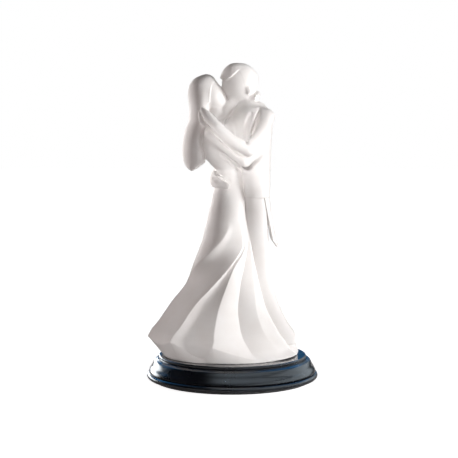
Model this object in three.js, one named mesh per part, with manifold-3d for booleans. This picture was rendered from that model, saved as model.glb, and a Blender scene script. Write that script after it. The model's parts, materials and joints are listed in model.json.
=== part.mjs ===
// A wedding couple figurine: bride and groom embracing, on a round turned base.
// Millimetres, +Z up. The groom stands on the +X side, -Y is the near side, and z = 0 is the underside.
import * as THREE from "three";
import { mergeVertices } from "three/addons/utils/BufferGeometryUtils.js";
import Module from "manifold-3d";

const wasm = await Module();
wasm.setup();

// Clearance where two pieces meet.
const SEAM = 0.3;

// The base: a turned plinth with a felt underside.
const FELT_THICKNESS = 1.2;
const FELT_INSET = 2.4;
const FOOT_RADIUS = 64.4;
const BEAD_HEIGHT = 4.6;
const BEAD_BULGE = 2.4;
const GROOVE_DEPTH = 1.1;
const GROOVE_WIDTH = 0.9;
const COVE_HEIGHT = 9.8;
const SHOULDER_RADIUS = 59.4;
const RING_RADIUS = 57.6;
const RING_HEIGHT = 2.9;
const RING_UNDERCUT = 0.9;
const RING_EDGE = 0.7;
const DECK = FELT_THICKNESS + SEAM + BEAD_HEIGHT + GROOVE_WIDTH + COVE_HEIGHT + RING_HEIGHT;

// The screws that hold the figures from below.
const SCREW_SHANK = 3.5;
const SCREW_HEAD = 7.4;
const SCREW_HEAD_HEIGHT = 2.6;
const SCREW_REACH = 11;
const SCREW_PLACES = [-24, 16];
const WASHER_WIDTH = 11;
const WASHER_THICKNESS = 1;
const SCREW_EDGE = 0.7;
const SCREW_POINT = 3;
const HEX_SOCKET = 3;
const SOCKET_DEPTH = 1.4;

// Outlines: rows of height above the deck, left edge, right edge, near side and far side.
const GOWN_FOOT = { left: -54, right: 47, near: -47, far: 45 };
const GOWN_TOP = 137;
const GOWN = [
  [0, -66, 50, -49, 47],
  [6, -66.2, 42.6, -50, 48],
  [12, -66.4, 37.4, -50.4, 47],
  [18, -64, 31.6, -49.4, 46],
  [26, -57.7, 25.8, -46, 42],
  [40, -48.2, 20.6, -40, 36],
  [57, -35.9, 18.3, -33.5, 31],
  [71, -31.2, 17, -28, 27],
  [88, -23.8, 15.5, -22, 21.5],
  [104, -19.9, 13.2, -18.5, 18],
  [120, -16.4, 12, -15, 15],
  [GOWN_TOP, -13, 8.6, -10.6, 10.6],
];
const BODICE = [
  [GOWN_TOP + SEAM, -13.2, 8.8, -10.6, 10.6],
  [143, -13, 8.3, -10, 10],
  [147, -16.3, 8.2, -11.5, 11.5],
  [152, -20.6, 8, -14, 14],
  [159, -23.4, 7.6, -16.2, 16.2],
  [167, -24.2, 5.6, -17.2, 17.2],
  [173, -22.6, 3.8, -16.4, 16.4],
  [178, -19.4, 3.6, -12.6, 12.6],
  [183, -14, 3.4, -7, 7],
  [187, -10, 2.6, -3, 3],
];
const JACKET_HEM = 122;
const JACKET = [
  [JACKET_HEM, 8.4, 29.2, -15.6, 15.6],
  [132, 8, 29.5, -15.8, 15.8],
  [146, 6.4, 29.7, -16.8, 16.8],
  [160, 2.6, 30.2, -19, 19],
  [173, 0.8, 30.6, -21, 21],
  [184, 1.6, 30, -21.6, 21.6],
  [190, 4.8, 28, -18, 18],
  [194.5, 9, 24.4, -10, 10],
];
const COLLAR = [
  [186, 3.4, 26, -12, 12],
  [191.5, 3, 23.6, -10.6, 10.6],
  [196, 4.6, 20.2, -8.6, 8.6],
  [199, 6.4, 17.5, -6.6, 6.6],
];
const SHOE_HEIGHT = 9;
const TROUSER_LEG = [
  [SHOE_HEIGHT, 24, 49.6, 13.6],
  [14, 22, 49.4, 13.8],
  [25, 18.4, 43, 13.6],
  [40, 14, 36, 13.4],
  [57, 11.4, 31.4, 13.2],
  [80, 10.4, 28.6, 13],
  [JACKET_HEM - SEAM, 9.8, 26.8, 13],
];
const LEG_GAP = 0.35;
const SHOE = [
  [0, 22, 50.6, 12],
  [3, 22, 51.2, 12.6],
  [SHOE_HEIGHT - SEAM, 24, 48.8, 12.2],
];
const HAIR = [
  [142.6, -32.4, -30.6, -1, 1],
  [144.6, -35, -27, -4.6, 4.6],
  [150.5, -38.2, -20.8, -8.4, 8.4],
  [158, -39, -21.6, -10.6, 10.6],
  [166, -38.4, -22.6, -11.2, 11.2],
  [174, -36.8, -20.6, -11, 11],
  [182, -34, -18.6, -11.4, 11.4],
  [190, -33.7, -17.9, -12.8, 12.8],
  [200, -34.3, -17.2, -13.4, 13.4],
  [208, -33, -16.2, -12, 12],
  [212.4, -30, -15.6, -9, 9],
  [215, -24, -19, -2, 2],
];
// The coat tails: height, x of the outer face at the back, half depth of its round, and where the tail starts
// and ends round it, in degrees from the back.
const TAIL_THICKNESS = 2;
const TAIL_BEND = 12;
const COAT_TAIL = [
  [84, 36.2, 15, 14, 24],
  [87, 35.6, 15, 12, 36],
  [90, 34.8, 15, 9, 46],
  [100, 32.4, 15, 4, 41],
  [109, 30.8, 15.2, 2, 44],
  [118, 29.6, 15.4, 2, 48],
  [JACKET_HEM - SEAM, 29.2, 15.6, 2, 50],
];

// The gown's pleats, each a line down its near side: height above the deck, and degrees round the gown
// from +X.
const PLEATS = {
  sweep: [
    [118, -92], [101, -87], [92.5, -97], [85, -113], [77, -131], [68, -153], [57, -169], [40, -177], [13, -179],
  ],
  middle: [
    [118, -74], [98, -54], [87, -53], [78, -65], [68, -82], [55, -104], [45, -114], [28, -122], [15, -127],
  ],
  front: [
    [118, -62], [98, -46], [88, -46], [68, -72], [53, -82], [39, -84.5], [26, -86.2], [18, -87], [12, -90],
  ],
  valley: [[118, -52], [98, -37], [88, -36], [72, -45], [55, -55], [27, -57], [3, -60]],
  edge: [[118, -38], [98, -32], [72, -34], [45, -38], [26, -40], [12, -38], [3, -34]],
};
// How far each crest stands out from the oval wall, by height above the deck.
const STAND = {
  sweep: [[70, 0], [84, 0.8], [96, 0.9], [104, 0]],
  middle: [[0, 0.4], [15, 1.2], [30, 1.2], [50, 1], [80, 1], [96, 0]],
  front: [[0, 0.4], [13, 1], [30, 1.2], [60, 0.9], [85, 0.6], [96, 0]],
  valley: [[0, -1], [8, -2.2], [18, -3], [40, -2.8], [60, -1.8], [80, -0.8], [95, 0]],
  edge: [[0, 1], [12, 4.6], [26, 7], [40, 6], [57, 4], [72, 2.4], [96, 0.8], [110, 0]],
};
// Between two crests the cloth is scooped: depth by height, and where across the scoop it is deepest.
const SCOOPS = {
  flat: { deep: [[0, 0]], deepest: [[0, 0.5]] },
  sweep: {
    deep: [[4, 6.4], [15, 6.2], [30, 5.8], [50, 5.2], [70, 4.6], [84, 3], [96, 1.4], [106, 0]],
    deepest: [[14, 0.62], [60, 0.55], [85, 0.4]],
  },
  middle: {
    deep: [[4, 7], [14, 6.6], [26, 5.6], [40, 4.6], [60, 3.2], [78, 1.6], [92, 0.3], [100, 0]],
    deepest: [[15, 0.3], [42, 0.38], [70, 0.45]],
  },
  far: { deep: [[4, 5], [20, 4], [45, 3], [75, 1.4], [105, 0]], deepest: [[15, 0.4], [70, 0.5]] },
};
// Round the gown from the left, by the near side (-1): each crest, the height of its point at the hem, the
// scoop after it, how far the hem dips there and where, and how many points lie up to the next crest.
const CRESTS = [
  { pleat: "sweep", side: -1, hem: 13.4, scoop: "sweep", dips: 4, lowest: 0.56, count: 8 },
  { pleat: "middle", side: -1, hem: 15.4, scoop: "middle", dips: 10.4, lowest: 0.58, count: 10 },
  { pleat: "front", side: -1, hem: 12.6, scoop: "flat", dips: 0, lowest: 0.5, count: 6 },
  { pleat: "valley", side: -1, hem: 0.8, scoop: "flat", dips: 0, lowest: 0.5, count: 6 },
  { pleat: "edge", side: -1, hem: 0.8, scoop: "flat", dips: 0, lowest: 0.5, count: 8 },
  { pleat: "edge", side: 1, hem: 0.8, scoop: "far", dips: 0, lowest: 0.5, count: 9 },
  { pleat: "front", side: 1, hem: 12, scoop: "far", dips: 8, lowest: 0.5, count: 9 },
  { pleat: "middle", side: 1, hem: 13, scoop: "far", dips: 4, lowest: 0.5, count: 8 },
];

// Her hair turns its near side to the left: how far its section is sheared, by height.
const HAIR_TURN = [[143, 0.45], [180, 0.6], [198, 0.4], [212, 0]];

// The heads: centre, tilt of the crown towards +X in degrees, half sizes to the face, to the back of the head,
// side to side and up, the way each faces along X, and how round the face is (a lower number is flatter).
const BRIDE_HEAD = {
  at: [-17, 0, 200.6], tilt: -31, face: 10.3, deep: 13.4, broad: 11.6, tall: 16, facing: 1, round: 0.5,
};
const GROOM_HEAD = {
  at: [6.4, 0, 209.8], tilt: -16, face: 14.4, deep: 14.4, broad: 12, tall: 15.4, facing: -1, round: 0.86,
};
const BRIDE_NECK = [
  { at: [-14, 0, 174], r: 6.4 },
  { at: [-9.6, -1, 182], r: 5.8 },
  { at: [-3.4, -1, 190.4], r: 5.8 },
  { at: [1.2, -1, 196], r: 5 },
];
const GROOM_NECK = [
  { at: [14.6, 0, 186], r: 7.4 },
  { at: [12, 0, 196], r: 6.4 },
  { at: [7, 0, 207], r: 6.6 },
];
const HAIR_THICKNESS = 0.9;
const HAIRLINE = { at: [-8.6, 0, 212.8], tilt: 22 };
const EAR = { at: [12.5, 11.4, 204.2], tall: 3.2, wide: 2.1, thick: 1.4, tilt: -24 };

// The arms, as joints in space with the sleeve's half thickness there; hands are flatter.
const GROOM_SHOULDER = { at: [24.6, 16.2, 184], r: 6.8 };
const GROOM_NEAR_SLEEVE = { at: [21.2, 21.4, 171], r: 5.9 };
const GROOM_NEAR_ELBOW = { at: [12, 26.2, 159.6], r: 5.3 };
const GROOM_NEAR_CUFF = { at: [0, 25.6, 166], r: 4.6 };
const GROOM_NEAR_WRIST = { at: [-11, 21.6, 176], r: 3.9 };
const GROOM_NEAR_PALM = { at: [-17.4, 19, 183], wide: 4.2, thick: 2.4 };
const GROOM_NEAR_TIP = { at: [-22.8, 16, 189.8], wide: 1.9, thick: 1.3 };
const GROOM_FAR_ELBOW = { at: [4, 26, 160], r: 4.8 };
const GROOM_FAR_WRIST = { at: [-12.6, 13.6, 140.4], r: 3.5 };
const GROOM_FAR_KNUCKLES = { at: [-14.8, 0, 137], wide: 6, thick: 2.5 };
const GROOM_FAR_TIP = { at: [-4.2, -12.2, 131.8], wide: 3, thick: 1.6 };
const BRIDE_SHOULDER = { at: [-15.6, 13.6, 171], r: 6 };
const BRIDE_NEAR_ELBOW = { at: [9, 22.4, 150.6], r: 4.8 };
const BRIDE_NEAR_WRIST = { at: [26, 21, 168.6], r: 3.5 };
const BRIDE_NEAR_PALM = { at: [28.6, 16.4, 172.6], wide: 3.4, thick: 1.8 };
const BRIDE_NEAR_TIP = { at: [29.4, 9, 176], wide: 2.2, thick: 1.4 };
const BRIDE_FAR_ELBOW = { at: [-8.6, 12, 183.4], r: 4.2 };
const BRIDE_FAR_WRIST = { at: [10, 12.6, 200], r: 3.4 };
const BRIDE_FAR_KNUCKLES = { at: [19.6, 4.4, 201.2], wide: 3, thick: 1.8 };
const BRIDE_FAR_TIP = { at: [17.8, -8.6, 199.4], wide: 2, thick: 1.2 };

const FINISH = {
  resin: { color: 0xe9e5e0, roughness: 0.48, metalness: 0 },
  lacquer: { color: 0x0b0c10, roughness: 0.24, metalness: 0 },
  felt: { color: 0x16171a, roughness: 0.96, metalness: 0 },
  zinc: { color: 0xa9abad, roughness: 0.38, metalness: 0.9 },
};

// A smooth line through pairs of (place, value), with no overshoot and level beyond its ends.
function through(pairs) {
  const p = [...pairs].sort((a, b) => a[0] - b[0]);
  const slope = p.slice(1).map((q, i) => (q[1] - p[i][1]) / (q[0] - p[i][0]));
  const tangent = p.map((_, i) => {
    const [before, after] = [slope[i - 1], slope[i]];
    if (before === undefined || after === undefined || before * after <= 0) return 0;
    return (2 * before * after) / (before + after);
  });
  return (t) => {
    if (t <= p[0][0]) return p[0][1];
    const i = p.findIndex((q) => q[0] >= t);
    if (i < 0) return p.at(-1)[1];
    const [t0, v0] = p[i - 1];
    const width = p[i][0] - t0;
    const u = (t - t0) / width;
    const rise = u * u * (3 - 2 * u);
    return (
      v0 + (p[i][1] - v0) * rise +
      width * (tangent[i - 1] * u * (1 - u) ** 2 - tangent[i] * u * u * (1 - u))
    );
  };
}

// A closed body from rings of as many points each, with a fan over each end. Each four-sided patch is split
// along its shorter diagonal, so that a slanting crease stays straight.
function loft(rings) {
  const count = rings[0].length;
  const middle = (ring) => ring.reduce((sum, p) => sum.add(p), new THREE.Vector3()).divideScalar(count);
  const points = [...rings.flat(), middle(rings[0]), middle(rings.at(-1))];
  const faces = [];
  const last = (rings.length - 1) * count;
  for (let i = 0; i < count; i++) {
    const next = (i + 1) % count;
    for (let k = 0; k < last; k += count) {
      const [a, b, c, d] = [k + i, k + next, k + count + next, k + count + i];
      if (points[a].distanceTo(points[c]) < points[b].distanceTo(points[d])) faces.push(a, b, c, a, c, d);
      else faces.push(a, b, d, b, c, d);
    }
    faces.push(points.length - 2, next, i, points.length - 1, last + i, last + next);
  }
  const body = new THREE.BufferGeometry().setFromPoints(points);
  body.setIndex(faces);
  return body;
}

// Turns a geometry into a solid that can be cut, and back.
function solid(geometry) {
  const bare = geometry.clone();
  bare.deleteAttribute("normal");
  bare.deleteAttribute("uv");
  const merged = mergeVertices(bare, 1e-4);
  const vertProperties = new Float32Array(merged.attributes.position.array);
  const triVerts = new Uint32Array(merged.index.array);
  return new wasm.Manifold(new wasm.Mesh({ numProp: 3, vertProperties, triVerts }));
}

function geometryOf(made) {
  const mesh = made.getMesh();
  const places = [];
  for (let i = 0; i < mesh.numVert; i++)
    places.push(...mesh.vertProperties.slice(i * mesh.numProp, i * mesh.numProp + 3));
  const geometry = new THREE.BufferGeometry();
  geometry.setAttribute("position", new THREE.Float32BufferAttribute(places, 3));
  geometry.setIndex([...mesh.triVerts]);
  geometry.computeVertexNormals();
  return geometry;
}

// Cuts a body by its neighbours and keeps the main piece, without the crumbs that a cut leaves.
function cutBy(geometry, ...others) {
  const cut = others.reduce((body, other) => body.subtract(solid(other)), solid(geometry));
  const pieces = cut.decompose().sort((a, b) => b.volume() - a.volume());
  return geometryOf(pieces[0]);
}

// A point on an oval outline that is squarer than an ellipse where power is over 2.
function onOval({ left, right, near, far }, angle, power = 2) {
  const [c, s] = [Math.cos(angle), Math.sin(angle)];
  const swell = (Math.abs(c) ** power + Math.abs(s) ** power) ** (-1 / power);
  const half = s < 0 ? -near : far;
  return [(left + right) / 2 + ((right - left) / 2) * c * swell, half * s * swell];
}

// The outline of rows at a height, widened by grow.
function outline(rows, grow = 0) {
  const [left, right, near, far] = [1, 2, 3, 4].map((k) => through(rows.map((row) => [row[0], row[k]])));
  return (h) => ({ left: left(h) - grow, right: right(h) + grow, near: near(h) - grow, far: far(h) + grow });
}

// A standing body whose level sections follow rows of outlines, shifted sideways by its own near side.
function column(rows, { sides = 22, rings = 10, power = 2.2, grow = 0 } = {}) {
  const at = outline(rows, grow);
  const [bottom, top] = [rows[0][0] - grow, rows.at(-1)[0] + grow];
  const stack = [];
  for (let k = 0; k <= rings; k++) {
    const h = THREE.MathUtils.lerp(bottom, top, k / rings);
    const { left, right, near, far } = at(h);
    const [middle, half] = [(near + far) / 2, (far - near) / 2];
    const ring = [];
    for (let i = 0; i < sides; i++) {
      const [x, y] = onOval({ left, right, near: -half, far: half }, (i / sides) * 2 * Math.PI, power);
      ring.push(new THREE.Vector3(x, y + middle, h));
    }
    stack.push(ring);
  }
  return loft(stack);
}

// A limb along a smooth path of joints, with round ends; face is the way that a flat hand looks.
function limb(joints, { sides = 10, steps = 5, grow = 0, face = [0, 1, 0] } = {}) {
  const corners = joints.map((j) => new THREE.Vector3(...j.at));
  const path = new THREE.CatmullRomCurve3(corners, false, "centripetal");
  const sizes = (key) => through(joints.map((j, i) => [i / (joints.length - 1), j[key] ?? j.r]));
  const [wide, thick] = [sizes("wide"), sizes("thick")];
  const stations = [];
  const cap = [0, 0.5];
  cap.forEach((c) => stations.push({ u: 0, out: c - 1, full: Math.sqrt(1 - (1 - c) ** 2) }));
  for (let k = 0; k <= steps; k++) stations.push({ u: k / steps, out: 0, full: 1 });
  [...cap].reverse().forEach((c) => stations.push({ u: 1, out: 1 - c, full: Math.sqrt(1 - (1 - c) ** 2) }));
  const rings = stations.map(({ u, out, full }) => {
    const along = path.getTangent(u);
    const across = new THREE.Vector3().crossVectors(along, new THREE.Vector3(...face)).normalize();
    const flat = new THREE.Vector3().crossVectors(across, along).normalize();
    const centre = path.getPoint(u).addScaledVector(along, out * (thick(u) + grow));
    const more = grow * Math.max(full, 0.2);
    const [w, t] = [wide(u) * full + more, thick(u) * full + more];
    return Array.from({ length: sides }, (_, i) => {
      const turn = (i / sides) * 2 * Math.PI;
      return centre
        .clone()
        .addScaledVector(across, w * Math.cos(turn) + 1e-3 * Math.cos(turn))
        .addScaledVector(flat, -t * Math.sin(turn) - 1e-3 * Math.sin(turn));
    });
  });
  return loft(rings);
}

// The same joint on the far side of the couple (side 1) or on the near side (side -1).
function onSide(side, joint) {
  const [x, y, h] = joint.at;
  return { ...joint, at: [x, side * y, h] };
}

// A smooth egg-shaped head: round at the crown, narrower at the chin, with a soft brow and chin.
function head({ at, tilt, face, deep, broad, tall, facing, round }, grow = 0) {
  const sides = 20;
  const rings = 10;
  const stack = [];
  for (let k = 1; k < rings; k++) {
    const rise = -Math.cos((k / rings) * Math.PI);
    const around = Math.sin((k / rings) * Math.PI);
    const jaw = rise < 0 ? 1 - 0.2 * rise * rise : 1;
    const front = face * around ** round * (rise < 0 ? 1 - 0.1 * rise * rise : 1) + grow;
    const back = deep * around ** 0.9 * (rise < 0 ? 1 + 0.42 * rise : 1) + grow;
    const ring = [];
    for (let i = 0; i < sides; i++) {
      const turn = (i / sides) * 2 * Math.PI;
      const x = Math.cos(turn) * facing > 0 ? front : back;
      const y = broad * around * jaw + grow;
      ring.push(new THREE.Vector3(x * Math.cos(turn), y * Math.sin(turn), (tall + grow) * rise));
    }
    stack.push(ring);
  }
  return loft(stack).rotateY(THREE.MathUtils.degToRad(tilt)).translate(...at);
}

// From 0 at two crests to 1 at the deepest place between them, level there and steep at the crests.
function dip(share, deepest) {
  const near = share < deepest ? share / deepest : (1 - share) / (1 - deepest);
  return Math.sin((Math.PI / 2) * near);
}

// The gown's skirt: an oval that flares to the hem, with pleats that sweep down from the hip. Between two
// pleats the cloth is scooped; at the hem each pleat ends in a lifted point over the smooth foot.
function gownSkirt(grow = 0) {
  const wall = outline(GOWN, grow);
  const blend = THREE.MathUtils.lerp;
  const crests = CRESTS.map(({ pleat, side, scoop, ...rest }) => {
    const line = through(PLEATS[pleat]);
    return {
      ...rest,
      turn: (h) => THREE.MathUtils.degToRad(-side * line(h)),
      stand: through(STAND[pleat]),
      deep: through(SCOOPS[scoop].deep),
      deepest: through(SCOOPS[scoop].deepest),
    };
  });
  const places = crests.flatMap((crest, i) =>
    Array.from({ length: crest.count }, (_, j) => ({
      crest, next: crests[(i + 1) % crests.length], share: j / crest.count,
    })),
  );
  const point = ({ crest, next, share }, h) => {
    const start = crest.turn(h);
    let end = next.turn(h);
    if (end < start) end += 2 * Math.PI;
    const { left, right, near, far } = wall(h);
    const [x, y] = onOval({ left, right, near, far }, blend(start, end, share), 2.1);
    const dx = x - (left + right) / 2;
    const reach = Math.hypot(dx, y);
    const stand = blend(crest.stand(h), next.stand(h), share);
    const lift = stand - crest.deep(h) * dip(share, crest.deepest(h));
    return new THREE.Vector3(x + (dx / reach) * lift, y + (y / reach) * lift, h);
  };
  const hemAt = ({ crest, next, share }) =>
    blend(crest.hem, next.hem, share) - crest.dips * dip(share, crest.lowest) ** 1.3;
  const middle = (GOWN_FOOT.left + GOWN_FOOT.right) / 2;
  const half = (GOWN_FOOT.right - GOWN_FOOT.left) / 2;
  const foot = places.map((place) => {
    const edge = point(place, hemAt(place));
    const depth = edge.y < 0 ? -GOWN_FOOT.near : GOWN_FOOT.far;
    const [x, y] = onOval(GOWN_FOOT, Math.atan2(edge.y / depth, (edge.x - middle) / half), 2.2);
    return new THREE.Vector3(x, y, -grow);
  });
  const rings = [foot];
  const levels = 17;
  for (let k = 0; k <= levels; k++)
    rings.push(
      places.map((place) => point(place, blend(hemAt(place), GOWN_TOP + grow, (k / levels) ** 1.25))),
    );
  return loft(rings);
}

const bodice = (grow) => column(BODICE, { rings: 10, grow });
const jacket = (grow) => column(JACKET, { sides: 28, rings: 9, power: 2.4, grow });
const collar = (grow) => column(COLLAR, { rings: 4, grow });

// Her hair: a column whose sections are sheared, so that its near side looks a little to the left.
function hair(grow) {
  const geometry = column(HAIR, { sides: 20, rings: 14, grow });
  const turn = through(HAIR_TURN);
  const middle = through(HAIR.map(([h, left, right]) => [h, (left + right) / 2]));
  const places = geometry.attributes.position;
  for (let i = 0; i < places.count; i++) {
    const [x, h] = [places.getX(i), places.getZ(i)];
    places.setY(i, places.getY(i) - turn(h) * (x - middle(h)));
  }
  return geometry;
}

// A leg or shoe has rows of its own side only: side is -1 for the near one and 1 for the far one.
function oneSide(rows, side, options) {
  const turned = rows.map(([h, left, right, outer]) =>
    side < 0 ? [h, left, right, -outer, -LEG_GAP] : [h, left, right, LEG_GAP, outer],
  );
  return column(turned, options);
}

// A thin coat tail that follows the round of the groom's back, from the hem down to a slanted tip.
function coatTail(side, grow) {
  const [back, deep, start, end] = [1, 2, 3, 4].map((k) => through(COAT_TAIL.map((row) => [row[0], row[k]])));
  const spread = THREE.MathUtils.radToDeg(grow / TAIL_BEND);
  const [bottom, top] = [COAT_TAIL[0][0] - grow, COAT_TAIL.at(-1)[0] + grow];
  const [count, levels] = [6, 8];
  const rings = [];
  for (let k = 0; k <= levels; k++) {
    const h = THREE.MathUtils.lerp(bottom, top, k / levels);
    const skin = (out) =>
      Array.from({ length: count + 1 }, (_, i) => {
        const degrees = THREE.MathUtils.lerp(start(h) - spread, end(h) + spread, i / count);
        const turn = THREE.MathUtils.degToRad(degrees);
        const x = back(h) - TAIL_BEND + (TAIL_BEND + out) * Math.cos(turn);
        return new THREE.Vector3(x, side * (deep(h) + out) * Math.sin(turn), h);
      });
    const ring = [...skin(grow), ...skin(-TAIL_THICKNESS - grow).reverse()];
    rings.push(side < 0 ? ring.reverse() : ring);
  }
  return loft(rings);
}

function sleeve(side, ...joints) {
  return (grow) => limb(joints.map((j) => onSide(side, j)), { grow, steps: 4 });
}

function hand(side, face, ...joints) {
  return (grow) => limb(joints.map((j) => onSide(side, j)), { grow, face, steps: 7, sides: 10 });
}

const NEAR = -1;
const FAR = 1;
const arms = {
  groom_left_hand: hand(NEAR, [0.35, -1, 0.2], GROOM_NEAR_WRIST, GROOM_NEAR_PALM, GROOM_NEAR_TIP),
  groom_left_forearm: sleeve(NEAR, GROOM_NEAR_ELBOW, GROOM_NEAR_CUFF, GROOM_NEAR_WRIST),
  groom_left_upper_arm: sleeve(NEAR, GROOM_SHOULDER, GROOM_NEAR_SLEEVE, GROOM_NEAR_ELBOW),
  groom_right_hand: hand(FAR, [-1, -0.8, 0], GROOM_FAR_WRIST, GROOM_FAR_KNUCKLES, GROOM_FAR_TIP),
  groom_right_forearm: sleeve(FAR, GROOM_FAR_ELBOW, GROOM_FAR_WRIST),
  groom_right_upper_arm: sleeve(FAR, GROOM_SHOULDER, GROOM_FAR_ELBOW),
  bride_right_hand: hand(NEAR, [1, -0.7, 0], BRIDE_NEAR_WRIST, BRIDE_NEAR_PALM, BRIDE_NEAR_TIP),
  bride_right_forearm: sleeve(NEAR, BRIDE_NEAR_ELBOW, BRIDE_NEAR_WRIST),
  bride_right_upper_arm: sleeve(NEAR, BRIDE_SHOULDER, BRIDE_NEAR_ELBOW),
  bride_left_hand: hand(FAR, [1, 0.4, 0], BRIDE_FAR_WRIST, BRIDE_FAR_KNUCKLES, BRIDE_FAR_TIP),
  bride_left_forearm: sleeve(FAR, BRIDE_FAR_ELBOW, BRIDE_FAR_WRIST),
  bride_left_upper_arm: sleeve(FAR, BRIDE_SHOULDER, BRIDE_FAR_ELBOW),
};

// Each head is one with its neck.
const withNeck = (shape, neck) => (grow) =>
  geometryOf(solid(head(shape, grow)).add(solid(limb(neck, { steps: 3, grow }))));
const brideHead = withNeck(BRIDE_HEAD, BRIDE_NECK);
const groomHead = withNeck(GROOM_HEAD, GROOM_NECK);

// The groom's hair is a cap over the skull, above and behind the hairline.
function groomHair(grow) {
  const cap = solid(head(GROOM_HEAD, HAIR_THICKNESS + grow));
  const size = 60;
  const above = new THREE.BoxGeometry(size, size, size).translate(0, 0, size / 2 - grow);
  above.rotateY(THREE.MathUtils.degToRad(HAIRLINE.tilt)).translate(...HAIRLINE.at);
  return geometryOf(cap.intersect(solid(above)));
}

function ear(side, grow = 0) {
  const { at, tall, wide, thick, tilt } = EAR;
  const shape = new THREE.SphereGeometry(1, 12, 8).scale(wide + grow, thick + grow, tall + grow);
  return shape.rotateY(THREE.MathUtils.degToRad(tilt)).translate(at[0], side * at[1], at[2]);
}

// The screws run up through the plinth into the gown, where the figures are thickest.
const SCREW_SEAT = FELT_THICKNESS + SEAM + SCREW_HEAD_HEIGHT + WASHER_THICKNESS + 2 * SEAM;

function screw() {
  const [shank, wide] = [SCREW_SHANK / 2, SCREW_HEAD / 2];
  const floor = FELT_THICKNESS + SEAM;
  const top = DECK + SCREW_REACH;
  const rim = floor + SCREW_HEAD_HEIGHT;
  const socket = HEX_SOCKET / 2;
  const roof = floor + SOCKET_DEPTH;
  const side = [
    [0, roof], [socket, roof], [socket, floor], [wide - SCREW_EDGE, floor], [wide, floor + SCREW_EDGE],
    [wide, rim], [shank, rim], [shank, top - SCREW_POINT], [0, top],
  ];
  return new THREE.LatheGeometry(side.map(([r, z]) => new THREE.Vector2(r, z)), 16).rotateX(Math.PI / 2);
}

function washer() {
  const low = FELT_THICKNESS + SCREW_HEAD_HEIGHT + 2 * SEAM;
  const [bore, wide] = [SCREW_SHANK / 2 + SEAM, WASHER_WIDTH / 2];
  const high = low + WASHER_THICKNESS;
  const side = [[bore, low], [wide, low], [wide, high], [bore, high], [bore, low]];
  return new THREE.LatheGeometry(side.map(([r, z]) => new THREE.Vector2(r, z)), 16).rotateX(Math.PI / 2);
}

// A hole for a screw: wide below the washer's seat and narrow above it.
function screwHole() {
  const [narrow, wide] = [SCREW_SHANK / 2 + SEAM, WASHER_WIDTH / 2 + SEAM];
  const end = DECK + SCREW_REACH + SEAM;
  const side = [[0, -1], [wide, -1], [wide, SCREW_SEAT], [narrow, SCREW_SEAT], [narrow, end], [0, end]];
  return new THREE.LatheGeometry(side.map(([r, z]) => new THREE.Vector2(r, z)), 16).rotateX(Math.PI / 2);
}

const holes = () => SCREW_PLACES.map((x) => screwHole().translate(x, 0, 0));

// The plinth's profile, from the axis out: foot, bead, groove, cove, shoulder and the top ring.
function plinth() {
  const floor = FELT_THICKNESS + SEAM;
  const bead = floor + BEAD_HEIGHT;
  const cove = bead + GROOVE_WIDTH;
  const shoulder = cove + COVE_HEIGHT;
  const side = [[0, floor], [FOOT_RADIUS, floor]];
  for (let k = 1; k < 5; k++) {
    const turn = (k / 5) * Math.PI;
    side.push([FOOT_RADIUS + BEAD_BULGE * Math.sin(turn), floor + (BEAD_HEIGHT * (1 - Math.cos(turn))) / 2]);
  }
  side.push([FOOT_RADIUS, bead], [FOOT_RADIUS - GROOVE_DEPTH, bead + GROOVE_WIDTH / 2]);
  const flank = through([
    [0, FOOT_RADIUS + 0.8], [0.18, FOOT_RADIUS + 0.2], [0.45, FOOT_RADIUS - 1.4],
    [0.72, SHOULDER_RADIUS + 2.3], [0.9, SHOULDER_RADIUS + 1.1], [1, SHOULDER_RADIUS - 0.9],
  ]);
  side.push([flank(0), cove]);
  for (let k = 1; k <= 7; k++) side.push([flank(k / 7), cove + (COVE_HEIGHT * k) / 7]);
  const neck = RING_RADIUS - RING_UNDERCUT;
  side.push([neck, shoulder], [neck, shoulder + RING_UNDERCUT / 2], [RING_RADIUS, shoulder + RING_UNDERCUT]);
  side.push([RING_RADIUS, DECK - RING_EDGE], [RING_RADIUS - RING_EDGE, DECK], [0, DECK]);
  return new THREE.LatheGeometry(side.map(([r, z]) => new THREE.Vector2(r, z)), 48).rotateX(Math.PI / 2);
}

function felt() {
  const wide = FOOT_RADIUS - FELT_INSET;
  const side = [[0, 0], [wide, 0], [wide, FELT_THICKNESS], [0, FELT_THICKNESS]];
  return new THREE.LatheGeometry(side.map(([r, z]) => new THREE.Vector2(r, z)), 48).rotateX(Math.PI / 2);
}

const figurine = new THREE.Group();
const couple = new THREE.Group();
couple.position.z = DECK + SEAM;
figurine.add(couple);

function place(group, name, geometry, finish) {
  const mesh = new THREE.Mesh(geometry, new THREE.MeshStandardMaterial(FINISH[finish]));
  mesh.name = name;
  group.add(mesh);
}

place(figurine, "base_plinth", cutBy(plinth(), ...holes()), "lacquer");
place(figurine, "felt_pad", felt(), "felt");
SCREW_PLACES.forEach((x, i) => {
  place(figurine, `fixing_screw_${i + 1}`, screw().translate(x, 0, 0), "zinc");
  place(figurine, `screw_washer_${i + 1}`, washer().translate(x, 0, 0), "zinc");
});

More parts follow.
